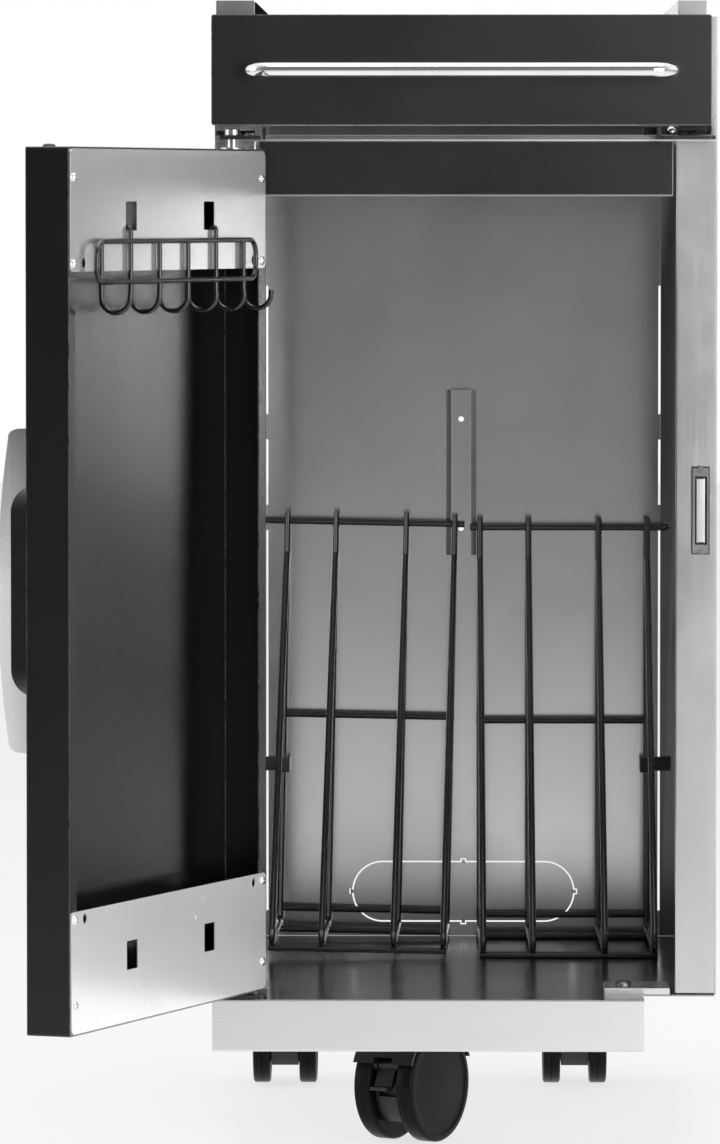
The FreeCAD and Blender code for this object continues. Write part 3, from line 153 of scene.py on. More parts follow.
def join_as(name, parts):
    """Join parts into one piece with this name."""
    only(*parts)
    bpy.ops.object.join()
    joined = bpy.context.object
    joined.name = name
    return joined


def finish_piece(piece, body, slot, finish, *replaced):
    """Settle a piece, smooth its round faces, and give it its body and finish. The slot is not used.
    """
    settle(piece)
    bpy.ops.object.shade_smooth_by_angle(angle=math.radians(50))
    change(piece, "WEIGHTED_NORMAL", weight=100, keep_sharp=True)
    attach(piece, body)
    if replaced:
        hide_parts(*replaced)
    piece.data.materials.clear()
    piece.data.materials.append(finish)


# %% [markdown]
# A CAD node arrives as loose triangles. To round its folds, a copy is merged and its flat faces are
# dissolved back into whole panels. Then every sharp edge takes a hair of bevel, because a sheared
# or folded sheet never ends in a perfect corner, and that hair is what draws the thin bright lines
# along the edges in the photograph.

# %% Soften a folded sheet
def sheet_from(node, name):
    """A merged copy of a CAD node, with its flat faces whole again."""
    piece = copy_of(nodes[node], name)
    for key in list(piece.keys()):
        del piece[key]
    piece.parent = None
    choose(piece, "VERT")
    bpy.ops.mesh.remove_doubles(threshold=0.002 * MM)
    bpy.ops.mesh.dissolve_limited(angle_limit=math.radians(0.4))
    leave()
    return piece


def ease(piece, width, segments=2):
    """Round every sharp edge a little."""
    change(piece, "BEVEL", width=width, segments=segments, limit_method="ANGLE",
           angle_limit=math.radians(40), harden_normals=False)


def soften_all(rows):
    """Ease the CAD nodes of each row. Its last number is the edge's width in millimetres."""
    for names, slot, finish, width in rows:
        for name in names.split():
            piece = sheet_from(name, f"eased_{name}")
            ease(piece, width * MM)
            finish_piece(piece, body_of[name], slot, finish, name)
            print(piece.name, len(piece.data.polygons), "faces")


# %% [markdown]
# Several finishes share the same effects, so each effect is one node group. Brushed grain is fine
# noise stretched along the sheet. Marks are the broad, faint patches that handling leaves in a
# metal's gloss. Peel is the dimpled skin of powder coat. Bare edge finds where a surface turns
# sharply, by comparing the true normal with one averaged over a small radius.

# %% Shared effects
def new_group(name, inputs, outputs):
    """A group with a Vector and these float inputs, and with float outputs."""
    group = bpy.data.node_groups.new(name, "ShaderNodeTree")
    group.interface.new_socket("Vector", in_out="INPUT", socket_type="NodeSocketVector")
    for label, value in inputs.items():
        socket = group.interface.new_socket(label, in_out="INPUT", socket_type="NodeSocketFloat")
        socket.default_value = value
    for label in outputs:
        group.interface.new_socket(label, in_out="OUTPUT", socket_type="NodeSocketFloat")
    inside, outside = group.nodes.new("NodeGroupInput"), group.nodes.new("NodeGroupOutput")
    return group, inside.outputs, outside.inputs


def node(tree, kind, **settings):
    made = tree.nodes.new(kind)
    for key, value in settings.items():
        setattr(made, key, value)
    return made


def feed(tree, socket, value):
    """Link a socket to another one, or set it to a plain number."""
    if hasattr(value, "default_value"):
        tree.links.new(value, socket)
    else:
        socket.default_value = value


def maths(tree, operation, first, second):
    made = node(tree, "ShaderNodeMath", operation=operation)
    feed(tree, made.inputs[0], first)
    feed(tree, made.inputs[1], second)
    return made.outputs[0]


def spread(tree, value, low, high, out_low=0.0, out_high=1.0):
    """Map Range from one stretch of values to another."""
    made = node(tree, "ShaderNodeMapRange")
    for label, number in (("Value", value), ("From Min", low), ("From Max", high),
                          ("To Min", out_low), ("To Max", out_high)):
        feed(tree, made.inputs[label], number)
    return made.outputs["Result"]


def noise(tree, vector, scale, detail=2.0, distortion=0.0):
    made = node(tree, "ShaderNodeTexNoise")
    tree.links.new(vector, made.inputs["Vector"])
    for label, value in (("Scale", scale), ("Detail", detail), ("Distortion", distortion)):
        feed(tree, made.inputs[label], value)
    return made.outputs["Fac"]


def shared(tree, first, second, share):
    """A share of the first value and the rest of the second."""
    return maths(tree, "ADD", maths(tree, "MULTIPLY", first, share),
                 maths(tree, "MULTIPLY", second, 1.0 - share))


def grain_group():
    """Fine streaks. The material's Mapping node decides which way they run."""
    group, inside, outside = new_group(
        "brushed grain", {"Scale": 900.0, "Contrast": 0.5}, ("Tone", "Height"))
    fine = noise(group, inside["Vector"], inside["Scale"], 3.0)
    broad = noise(group, inside["Vector"], maths(group, "MULTIPLY", inside["Scale"], 0.14))
    both = shared(group, fine, broad, 0.7)
    centred = maths(group, "SUBTRACT", both, 0.5)
    tone = maths(group, "ADD", maths(group, "MULTIPLY", centred, inside["Contrast"]), 0.5)
    group.links.new(tone, outside["Tone"])
    group.links.new(both, outside["Height"])
    return group


def marks_group():
    """Broad soft patches from 0 to 1, with a few fine scuffs."""
    group, inside, outside = new_group("handling marks", {"Size": 9.0}, ("Mask",))
    cloud = noise(group, inside["Vector"], inside["Size"], 4.0, 0.6)
    fine = maths(group, "MULTIPLY", inside["Size"], 7.0)
    scuffs = noise(group, inside["Vector"], fine, 6.0, 0.3)
    mask = shared(group, spread(group, cloud, 0.35, 0.7), spread(group, scuffs, 0.45, 0.75), 0.85)
    group.links.new(mask, outside["Mask"])
    return group


def peel_group():
    """The dimpled skin of powder coat or moulded plastic, as a height."""
    group, inside, outside = new_group("coat peel", {"Scale": 500.0}, ("Height",))
    dimples = noise(group, inside["Vector"], inside["Scale"])
    specks = node(group, "ShaderNodeTexVoronoi")
    group.links.new(inside["Vector"], specks.inputs["Vector"])
    group.links.new(maths(group, "MULTIPLY", inside["Scale"], 1.7), specks.inputs["Scale"])
    low_specks = maths(group, "MULTIPLY", specks.outputs["Distance"], 0.35)
    group.links.new(maths(group, "ADD", dimples, low_specks), outside["Height"])
    return group


def edge_group():
    """A mask along sharp turns of the surface, broken up as if by wear."""
    group, inside, outside = new_group("bare edge", {"Radius": 0.0012}, ("Mask",))
    rounded = node(group, "ShaderNodeBevel", samples=4)
    group.links.new(inside["Radius"], rounded.inputs["Radius"])
    true = node(group, "ShaderNodeNewGeometry")
    turn = node(group, "ShaderNodeVectorMath", operation="DOT_PRODUCT")
    group.links.new(rounded.outputs["Normal"], turn.inputs[0])
    group.links.new(true.outputs["Normal"], turn.inputs[1])
    turned = spread(group, turn.outputs["Value"], 0.995, 0.9)
    worn = spread(group, noise(group, inside["Vector"], 160.0), 0.3, 0.55)
    group.links.new(maths(group, "MULTIPLY", turned, worn), outside["Mask"])
    return group


GRAIN, MARKS, PEEL, EDGE = grain_group(), marks_group(), peel_group(), edge_group()
print("effects", [group.name for group in (GRAIN, MARKS, PEEL, EDGE)])

# %% [markdown]
# A sheet finish is then the same short recipe each time: coordinates, a Mapping node that stretches
# the grain, the shared effects, and one Principled BSDF kept in the material itself. Outside, the
# stainless is a satin sheet. Inside it is brighter and smoother, and mirrors the wires. Rolled
# sheet smears a reflection one way only, as anisotropy does: a quarter turn makes the smear run up
# and down, so upright wires stay sharp in it.

# %% The recipe for a finish
def grey(level):
    return (level, level, level)


def new_finish(name, color, metallic, roughness, **fixed):
    """A material whose Principled BSDF starts with these values."""
    material = bpy.data.materials.new(name)
    material.use_nodes = True
    tree = material.node_tree
    shader = tree.nodes["Principled BSDF"]
    shader.inputs["Base Color"].default_value = (*color, 1.0)
    shader.inputs["Metallic"].default_value = metallic
    shader.inputs["Roughness"].default_value = roughness
    for label, value in fixed.items():
        shader.inputs[label.replace("_", " ").title().replace("Ior", "IOR")].default_value = value
    material.diffuse_color = (*color, 1.0)
    return material, tree, shader


def coordinates(tree, stretch=(1.0, 1.0, 1.0)):
    source = node(tree, "ShaderNodeTexCoord")
    mapping = node(tree, "ShaderNodeMapping")
    mapping.inputs["Scale"].default_value = stretch
    tree.links.new(source.outputs["Object"], mapping.inputs["Vector"])
    return mapping.outputs["Vector"]


def effect(tree, group, vector, **values):
    """Put a shared effect into a material and return what it puts out."""
    made = node(tree, "ShaderNodeGroup", node_tree=group)
    tree.links.new(vector, made.inputs["Vector"])
    for label, value in values.items():
        made.inputs[label].default_value = value
    return made.outputs


def tint(tree, shader, mask, low, high):
    """Colour the shader with two colours blended by a mask."""
    made = node(tree, "ShaderNodeMix", data_type="RGBA")
    tree.links.new(mask, made.inputs[0])
    made.inputs[6].default_value = (*low, 1.0)
    made.inputs[7].default_value = (*high, 1.0)
    tree.links.new(made.outputs[2], shader.inputs["Base Color"])


def vary_gloss(tree, shader, mask, low, high):
    """Let a mask from 0 to 1 change the shader's roughness from low to high."""
    tree.links.new(spread(tree, mask, 0.0, 1.0, low, high), shader.inputs["Roughness"])


def raise_bump(tree, shader, height, strength):
    bump = node(tree, "ShaderNodeBump")
    bump.inputs["Strength"].default_value = strength
    bump.inputs["Distance"].default_value = 0.2 * MM
    tree.links.new(height, bump.inputs["Height"])
    tree.links.new(bump.outputs["Normal"], shader.inputs["Normal"])


def steel_sheet(
        name, dark, light, gloss, stretch, contrast, bump=0.0, metal=1.0, smear=(0.0, 0.0)):
    """Stainless sheet: streaks along the grain, and patches of slightly changed gloss."""
    material, tree, shader = new_finish(
        name, grey(light), metal, gloss[0], anisotropic=smear[0], anisotropic_rotation=smear[1])
    grain = effect(tree, GRAIN, coordinates(tree, stretch), Contrast=contrast)
    marks = effect(tree, MARKS, coordinates(tree), Size=7.0)
    tint(tree, shader, grain["Tone"], grey(dark), grey(light))
    rough = maths(tree, "ADD", spread(tree, marks["Mask"], 0.0, 1.0, *gloss),
                  spread(tree, grain["Tone"], 0.2, 0.8, -0.03, 0.03))
    tree.links.new(rough, shader.inputs["Roughness"])
    if bump:
        raise_bump(tree, shader, grain["Height"], bump)
    return material


GRAIN_UP, GRAIN_ACROSS, GRAIN_DEEP = (1.0, 1.0, 0.02), (0.02, 1.0, 1.0), (1.0, 0.02, 1.0)
SATIN_UP = steel_sheet(
    "satin stainless, upright grain", 0.60, 0.70, (0.18, 0.25), GRAIN_UP, 0.6, 0.02)
SATIN_ACROSS = steel_sheet(
    "satin stainless, level grain", 0.70, 0.84, (0.27, 0.35), GRAIN_ACROSS, 0.6, 0.06)
BRIGHT_ACROSS = steel_sheet(
    "bright stainless, level grain", 0.68, 0.78, (0.12, 0.16), GRAIN_ACROSS, 0.2,
    smear=(0.8, 0.25))
BRIGHT_UP = steel_sheet(
    "bright stainless, upright grain", 0.84, 0.90, (0.20, 0.28), GRAIN_UP, 0.3)
BRIGHT_DEEP = steel_sheet(
    "bright stainless, grain to the back", 0.40, 0.48, (0.16, 0.24), GRAIN_DEEP, 0.4, 0.02)
# Painted shade: a dark stainless for the rear top rail deep in its recess, the side sheets' rear
# flanges, the lower worktop rails and the rack bracket's side flanges.
PAINTED_SHADE_STEEL = steel_sheet("mill stainless, inner faces", 0.16, 0.22, (0.20, 0.30), GRAIN_UP, 0.4)
MIRROR_LINER = steel_sheet(
    "upper liner, mirror sheet", 0.84, 0.90, (0.16, 0.19), GRAIN_ACROSS, 0.3, metal=0.78,
    smear=(0.9, 0.25))
DULL_LINER = steel_sheet(
    "lower liner, scuffed sheet", 0.88, 0.95, (0.22, 0.30), GRAIN_UP, 0.4, metal=0.52)
print("materials so far", len(bpy.data.materials))

# %% [markdown]
# The charcoal parts are powder coated: a dark, slightly dimpled skin with an even satin gloss. The
# sheared steel shows through as a thin pale line where the coat is thinnest, on the folded edges.
# Two paler coats are painted highlights for the lower and right-hand folds. Casings, wheels and a
# black strip of painted shade are plastic of different gloss.

# %% Coats and plastics
def powder_coat(name, color, gloss, edge_amount, skin=0.25, shine=0.5):
    """A dark satin coat with a second, harder gloss over it, as weighty as skin says."""
    material, tree, shader = new_finish(
        name, color, 0.0, gloss, coat_weight=skin, coat_roughness=0.20, specular_ior_level=shine)
    where = coordinates(tree)
    if edge_amount:
        edge = effect(tree, EDGE, where, Radius=1.6 * MM)
        tint(tree, shader, maths(tree, "MULTIPLY", edge["Mask"], edge_amount), color, grey(0.42))
    marks = effect(tree, MARKS, where, Size=6.0)
    vary_gloss(tree, shader, marks["Mask"], gloss - 0.04, gloss + 0.06)
    raise_bump(tree, shader, effect(tree, PEEL, where, Scale=700.0)["Height"], 0.04)
    return material


def moulded_plastic(name, level, gloss, scale, shine=0.25):
    """Dimpled plastic with slightly paler, duller patches."""
    material, tree, shader = new_finish(name, grey(level), 0.0, gloss, specular_ior_level=shine)
    where = coordinates(tree)
    marks = effect(tree, MARKS, where, Size=30.0)
    tint(tree, shader, marks["Mask"], grey(level), grey(1.5 * level + 0.003))
    vary_gloss(tree, shader, marks["Mask"], gloss, gloss + 0.12)
    raise_bump(tree, shader, effect(tree, PEEL, where, Scale=scale)["Height"], 0.15)
    return material


CHARCOAL = powder_coat("charcoal powder coat", (0.0045, 0.0045, 0.005), 0.30, 0.45)
DOOR_COAT = powder_coat("charcoal powder coat, door", (0.0025, 0.0025, 0.0028), 0.20, 0.25, 1.0)
DOOR_EDGE = powder_coat(
    "charcoal powder coat, door edge", (0.003, 0.003, 0.0033), 0.26, 0.25, 0.0, 0.42)
BLACK_WIRE = powder_coat("black coated wire", grey(0.006), 0.24, 0.0, 0.7)
BLACK_PLATE = powder_coat("black plated steel", (0.004, 0.004, 0.0045), 0.36, 0.08)
# Painted highlights: paler coats for the lower and right-hand folds of the header and fascia.
PAINTED_HIGHLIGHT_FOLD = powder_coat("powder coat rubbed thin on a fold", grey(0.30), 0.35, 0.0)
PAINTED_HIGHLIGHT_FOLD_BRIGHT = powder_coat("powder coat rubbed through on a fold", grey(0.62), 0.35, 0.0)
PLASTIC = moulded_plastic("black moulded plastic", 0.005, 0.30, 900.0, 0.45)
TREAD = moulded_plastic("hard black tread", 0.004, 0.30, 700.0, 0.10)
GREY_CASE = moulded_plastic("grey moulded plastic", 0.16, 0.36, 900.0)
# Painted shade: a matt black strip without shine for the inside of the left worktop rail.
SHADE_BLACK_STRIP = moulded_plastic("black foam strip", 0.010, 0.80, 400.0, 0.0)
print("materials so far", len(bpy.data.materials))

# %% [markdown]
# Small metal parts are plated. Plating is smoother than sheet, so it needs little grain, but it
# still dulls unevenly, and turned heads show fine rings.

# %% Plated metals
def plated(name, color, gloss, patch=40.0, rings=0.04):
    """Plating with duller, darker patches, and a fine grain where rings isn't 0."""
    material, tree, shader = new_finish(name, color, 1.0, gloss)
    where = coordinates(tree)
    marks = effect(tree, MARKS, where, Size=patch)
    tint(tree, shader, marks["Mask"], color, tuple(0.86 * part for part in color))
    vary_gloss(tree, shader, marks["Mask"], gloss, gloss + 0.1)
    if rings:
        grain = effect(tree, GRAIN, where, Scale=2500.0, Contrast=0.4)
        raise_bump(tree, shader, grain["Height"], rings)
    return material


CHROME = plated("chrome", grey(0.95), 0.08, 12.0, 0.0)
SILVER = plated("satin silver", (0.82, 0.82, 0.83), 0.24, 14.0)
ZINC = plated("zinc plate", (0.66, 0.66, 0.67), 0.26)
GROUND = plated("ground magnet face", grey(0.62), 0.34)
AGED = plated("aged zinc plate", grey(0.26), 0.30)
# Painted shade: near-black silver for the handle's faces towards the door.
HANDLE_SHADE_PAINT = plated("silver, as cast", grey(0.05), 0.34)
print("materials so far", len(bpy.data.materials))

# %% [markdown]
# Most sheets keep their CAD shape and only need their edges eased and a finish. A table says which
# nodes wear what, and how wide their edges are rounded. Thick coats round the charcoal sheets more.

# %% Dress the sheets
SHEETS = (
    ("floor_pan", "bright_steel", BRIGHT_DEEP, 0.25),
    ("back_panel", "bright_steel", BRIGHT_ACROSS, 0.25),
    ("base_front_rail base_left_rail base_right_rail base_rear_rail front_cross_channel "
     "rear_cross_channel", "satin_steel", SATIN_ACROSS, 0.25),
    ("left_side_panel right_side_panel left_stile right_stile", "satin_steel", SATIN_UP, 0.25),
    ("top_plate", "satin_steel", SATIN_ACROSS, 0.25),
    ("header_rail", "charcoal_paint", CHARCOAL, 0.9),
    ("fascia", "charcoal_paint", CHARCOAL, 1.0),
    ("left_worktop_rail right_worktop_rail", "satin_steel", SATIN_UP, 0.25),
    ("rear_top_rail", "satin_steel", PAINTED_SHADE_STEEL, 0.25),
    ("rack_bracket", "satin_steel", BRIGHT_ACROSS, 0.25),
    ("catch_housing", "black_plastic", GREY_CASE, 0.7),
    ("catch_magnet", "magnet", GROUND, 0.25),
    ("left_top_bracket right_top_bracket lower_hinge_bracket", "black_steel", BLACK_PLATE, 0.25),
    ("joining_plate", "black_steel", SILVER, 0.25),
    ("caster_plates", "zinc", ZINC, 0.25),
    ("door_pan", "charcoal_paint", DOOR_COAT, 0.8),
    ("upper_liner", "bright_steel", MIRROR_LINER, 0.25),
    ("lower_liner", "bright_steel", DULL_LINER, 0.25),
    ("rack_clips", "black_plastic", PLASTIC, 0.25),
)
soften_all(SHEETS)

# %% [markdown]
# The side sheets are brushed only where they are seen from outside. Indoors they keep the brighter
# finish that they left the rolls with, so those faces get a second material. Their rear flanges, the
# lower worktop rails and the rack bracket's side flanges get a dark stainless as painted shade. The
# faces are chosen by the way that they look and by where they are. The same tool paints highlights
# as pale lines along the lower and right-hand folds of the charcoal sheets, paints shade as a dark
# rim round the catch, and paints the right worktop rail's front black as shade behind the fascia.

# %% A second finish on chosen faces
def second_finish(name, finish, test):
    """Give the faces of a piece that pass the test a second finish."""
    piece = bpy.data.objects[name]
    piece.data.materials.append(finish)
    last = len(piece.data.materials) - 1
    choose(piece, "FACE", test)
    piece.active_material_index = last
    bpy.ops.object.material_slot_assign()
    leave()
    print(piece.name, sum(face.material_index == last for face in piece.data.polygons),
          "faces in", finish.name)


def split_at(name, height):
    """Cut a piece's faces at a height, so that each side can wear its own finish."""
    choose(bpy.data.objects[name])
    bpy.ops.mesh.bisect(plane_co=(0.0, 0.0, height), plane_no=(0.0, 0.0, 1.0))
    leave()


def folded_low_or_right(place, way):
    """Faces of a rounded edge that look down or to the right."""
    return -FLAT < way.y < -0.2 and (way.z < -0.2 or way.x > 0.2)


TURNED, FLAT = 0.5, 0.97  # how much of a face's normal points along an axis
REAR_FLANGE_Y, RAIL_FRONT_Y, RAIL_LOW = 0.4, -50.0 * MM, 0.83
BRACKET_WEB_HALF = 8.6 * MM
plate_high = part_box("top_plate")[1].z
# Below this height the right worktop rail's front is painted black as shade behind the fascia.
painted_shade_top = plate_high + 20.0 * MM
for panel, inward in (("eased_left_side_panel", 1.0), ("eased_right_side_panel", -1.0)):
    split_at(panel, plate_high)
    second_finish(
        panel, BRIGHT_UP, lambda place, way: inward * way.x > TURNED and place.z < plate_high)
    second_finish(
        panel, DULL_LINER, lambda place, way: inward * way.x > TURNED and place.z > plate_high)
    # The rear flanges take the dark stainless as painted shade.
    second_finish(
        panel, PAINTED_SHADE_STEEL, lambda place, way: abs(way.y) > TURNED and place.y > REAR_FLANGE_Y)
# The lower worktop rails take the dark stainless as painted shade.
for rail in ("eased_left_worktop_rail", "eased_right_worktop_rail"):
    second_finish(rail, PAINTED_SHADE_STEEL, lambda place, way: place.z < RAIL_LOW and place.y > RAIL_FRONT_Y)
# Painted shade: the right worktop rail's front turns black behind the fascia.
split_at("eased_right_worktop_rail", painted_shade_top)
second_finish(
    "eased_right_worktop_rail", BLACK_PLATE,
    lambda place, way: place.z < painted_shade_top and way.y < -TURNED)
# The lower and right-hand folds of the fascia and header get painted highlights.
second_finish("eased_fascia", PAINTED_HIGHLIGHT_FOLD_BRIGHT, folded_low_or_right)
second_finish("eased_header_rail", PAINTED_HIGHLIGHT_FOLD, folded_low_or_right)
# The catch case's sides are painted black as a rim of shade round its edge.
second_finish("eased_catch_housing", PLASTIC, lambda place, way: abs(way.y) < FLAT)
# The rack bracket's side flanges take the dark stainless as a painted shadow beside the bracket.
bracket_middle = box_middle("rack_bracket").x
second_finish(
    "eased_rack_bracket", PAINTED_SHADE_STEEL,
    lambda place, way: abs(place.x - bracket_middle) > BRACKET_WEB_HALF and way.y < -TURNED)

# %% [markdown]
# The knock-out near the floor of the back panel hangs in a slit about a millimetre wide, and the
# slit steps outward round four small tongues where a screwdriver is pushed in. The light slots at
# the panel's sides are narrow too. Points on those edges are chosen by their place and moved, and
# the tongues are four small blocks. The slit is a long round: straight above and below, with a half
# circle at each end, so its points move away from the nearest spot on its middle line.

# %% Narrow the light slits
def move_points(name, test, shift):
    """Move the points of a piece that pass the test."""
    choose(bpy.data.objects[name], "VERT", test)
    bpy.ops.transform.translate(value=shift)
    leave()


def block(name, low, high):
    """A plain block, the start of many small pieces."""
    only()
    bpy.ops.mesh.primitive_cube_add(size=1.0, location=(Vector(low) + Vector(high)) / 2)
    piece = bpy.context.object
    piece.name = name
    piece.scale = Vector(high) - Vector(low)
    settle(piece)
    return piece


NEAR = 0.4 * MM
SLOT_EDGE, SLOT_SHIFT = 15.2 * MM, 1.4 * MM
KNOCK_HALF, KNOCK_STRAIGHT = 26.3 * MM, 69.4 * MM
KNOCK_SLIT, SLIT_SHIFT = 2.2 * MM, 0.9 * MM
KNOCK_REACH, KNOCK_LOW, KNOCK_HIGH = 110.0 * MM, 2.0 * MM, 90.0 * MM
TONGUE_HALF, TONGUE_OVERLAP = 1.5 * MM, 1.2 * MM
panel_low, panel_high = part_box("back_panel")
panel_middle = box_middle("back_panel")
for edge, way in ((panel_low.x + SLOT_EDGE, -1.0), (panel_high.x - SLOT_EDGE, 1.0)):
    move_points("eased_back_panel", lambda place, turn: abs(place.x - edge) < NEAR,
                (way * SLOT_SHIFT, 0.0, 0.0))
knock = middle([vertex.co for vertex in nodes["back_panel"].data.vertices
                if abs(vertex.co.x - panel_middle.x) < KNOCK_REACH
                and KNOCK_LOW < vertex.co.z - panel_low.z < KNOCK_HIGH])
slit_inside = KNOCK_HALF - KNOCK_SLIT
narrowed = 0
for vertex in bpy.data.objects["eased_back_panel"].data.vertices:
    aside = vertex.co.x - knock.x
    beyond = math.copysign(max(abs(aside) - KNOCK_STRAIGHT, 0.0), aside)
    across = Vector((beyond, 0.0, vertex.co.z - knock.z))
    if abs(across.length - slit_inside) < NEAR:
        vertex.co += across.normalized() * SLIT_SHIFT
        narrowed += 1
tongues = []
for x, z in ((1.0, 0.0), (-1.0, 0.0), (0.0, 1.0), (0.0, -1.0)):
    root = KNOCK_STRAIGHT * abs(x) + slit_inside
    long_half = (KNOCK_SLIT + TONGUE_OVERLAP) / 2
    spot = knock + Vector((x, 0.0, z)) * (root + long_half)
    half = Vector((abs(x) * long_half + abs(z) * TONGUE_HALF, 0.0,
                   abs(z) * long_half + abs(x) * TONGUE_HALF))
    low, high = spot - half, spot + half
    low.y, high.y = panel_low.y, panel_high.y
    tongues.append(block("tongue", low, high))
tongue_set = join_as("knockout_tongues", tongues)
ease(tongue_set, 0.2 * MM)
finish_piece(tongue_set, "cabinet", "bright_steel", BRIGHT_ACROSS)
print("slit points moved", narrowed, "tongues", len(tongues))

# %% [markdown]
# Bent wire and turned bar are welded or bolted where they cross. The same easing rounds their cut
# ends and leaves a small fillet at each crossing, as a spot weld does. The casters' hoods are
# moulded, with wider edges still.

# %% Dress the wires, bars and hoods
ROUNDS = (
    ("left_rack right_rack", "black_wire", BLACK_WIRE, 0.4),
    ("hook_rack", "black_wire", BLACK_WIRE, 0.3),
    ("towel_bar", "chrome", CHROME, 0.3),
    ("hinge_pins", "zinc", ZINC, 0.4),
    ("hinge_bushes", "zinc", ZINC, 0.3),
    ("brake_lever", "zinc", PLASTIC, 0.5),
    ("front_caster_hood rear_left_caster_hood rear_right_caster_hood", "black_plastic", PLASTIC,
     0.6),
    ("front_caster_stem rear_left_caster_stem rear_right_caster_stem", "zinc", ZINC, 0.3),
)
soften_all(ROUNDS)

# %% [markdown]
# Three small things are a little finer than their CAD shapes. The plastic clips grip the outer legs
# with a short body, the magnet stands a little clear of its case, and the plate that joins this bay
# to the next one is thin.

# %% Slimmer clips, magnet and joining plate
def slim(node, factors):
    """Shrink a dressed node about the middle of its CAD box."""
    choose(bpy.data.objects[f"eased_{node}"])
    bpy.ops.transform.resize(value=factors, center_override=box_middle(node))
    leave()


PLATE_DROP, PLATE_SKIN = 2.4 * MM, 3.0 * MM
slim("rack_clips", (1.0, 1.0, 0.6))
slim("catch_magnet", (0.80, 1.0, 0.97))
plate_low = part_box("joining_plate")[0].z
move_points("eased_joining_plate", lambda place, way: place.z > plate_low + PLATE_SKIN,
            (0.0, 0.0, -PLATE_DROP))
plate_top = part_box("joining_plate")[1].z - PLATE_DROP
print("joining plate top", round(plate_top, 4))

# %% [markdown]
# Turned and moulded round pieces start as one filled circle. Its face is extruded a little, then
# scaled, again and again, which is the same as turning a profile on a lathe. Each pair in a list is
# one step: how far the face rises, and the radius it ends at.

# %% A lathe made of extrudes
def turn_up(name, first_radius, steps, around=48):
    """A closed round solid that rises along Z from the origin."""
    only()
    bpy.ops.mesh.primitive_circle_add(vertices=around, radius=first_radius, fill_type="NGON")
    piece = bpy.context.object
    piece.name = name
    bpy.ops.object.mode_set(mode="EDIT")
    bpy.ops.mesh.select_all(action="SELECT")
    radius = first_radius
    for rise, next_radius in steps:
        bpy.ops.mesh.extrude_region_move(TRANSFORM_OT_translate={"value": (0.0, 0.0, rise)})
        factor = next_radius / radius
        bpy.ops.transform.resize(value=(factor, factor, 1.0))
        radius = next_radius
    bpy.ops.mesh.select_all(action="SELECT")
    bpy.ops.mesh.normals_make_consistent(inside=False)
    leave()
    return piece


def in_mm(*steps):
    """Steps written in millimetres, as steps in metres."""
    return [(rise * MM, radius * MM) for rise, radius in steps]


def aim(piece, place, way, front="Z"):
    """Put a piece at a place, with its front, the Z axis it was made along, facing a way."""
    piece.rotation_mode = "QUATERNION"
    piece.rotation_quaternion = Vector(way).to_track_quat(front, "Y")
    piece.location = place


def islands(node):
    """The points of each separate solid in a CAD node."""
    choose(sheet_from(node, "island"))
    bpy.ops.mesh.separate(type="LOOSE")
    leave()
    parts = [item for item in bpy.data.objects if item.name.startswith("island")]
    found = [[vertex.co.copy() for vertex in part.data.vertices] for part in parts]
    for part in parts:
        bpy.data.objects.remove(part)
    return found


def reach(points, way):
    """The nearest and furthest that a cloud of points goes along a direction."""
    along = [point.dot(way) for point in points]
    return min(along), max(along)


def points_of(node):
    return [vertex.co for vertex in nodes[node].data.vertices]


# %% [markdown]
# The screws are pan heads with a cross recess, a few millimetres across. One is turned, its recess
# is cut with a boolean of two crossed blocks, and it is copied to each hole. Its shank is a stub at
# first, and the stub's end is then drawn out to the length of the CAD screw. In the photograph the
# heads are the bright dots at the corners of the door's liners.

# %% One pan-head screw
STUB = 1.0 * MM


def combine(piece, other, operation):
    """Apply a boolean and throw the other piece away."""
    change(piece, "BOOLEAN", operation=operation, object=other)
    bpy.data.objects.remove(other)


def pan_screw(name, head, rise, shank):
    """Head from z = 0 up to rise, with a cross recess, and a stub of a shank below it."""
    dome = [(0.25 * rise, head), (0.35 * rise, 0.93 * head), (0.25 * rise, 0.74 * head),
            (0.15 * rise, 0.42 * head)]
    screw = turn_up(name, head, dome, 28)
    top, half = Vector((0.0, 0.0, rise)), Vector((0.575 * head, 0.13 * head, 0.55 * rise))
    for turn in (0.0, math.pi / 2):
        blade = block("blade", top - half, top + half)
        blade.rotation_euler[2] = turn
        settle(blade)
        combine(screw, blade, "DIFFERENCE")
    ease(screw, 0.03 * head, 1)
    body = turn_up("shank", shank, [(STUB, shank)], 16)
    body.location = (0.0, 0.0, -STUB)
    settle(body)
    return join_as(name, [body, screw])


def dress(node, copies, finish):
    """Join the copies that stand in a CAD node's places into one finished piece."""
    piece = join_as(f"dressed_{node}", copies)
    finish_piece(piece, body_of[node], "zinc", finish, node)
    print(piece.name, len(copies), "copies")


def place_screws(node, head_way, head, rise, shank, finish):
    """A screw on each solid of a CAD node. head_way points out of the head."""
    master = pan_screw("screw_master", head, rise, shank)
    screws = []
    for points in islands(node):
        near, far = reach(points, head_way)
        centre = middle(points)
        seat = centre + head_way * (far - rise - centre.dot(head_way))
        screw = copy_of(master, "screw")
        aim(screw, seat, head_way)
        settle(screw)
        for vertex in screw.data.vertices:
            if (vertex.co - seat).dot(head_way) < -0.9 * STUB:
                vertex.co -= head_way * (far - rise - near - STUB)
        screws.append(screw)
    bpy.data.objects.remove(master)
    dress(node, screws, finish)


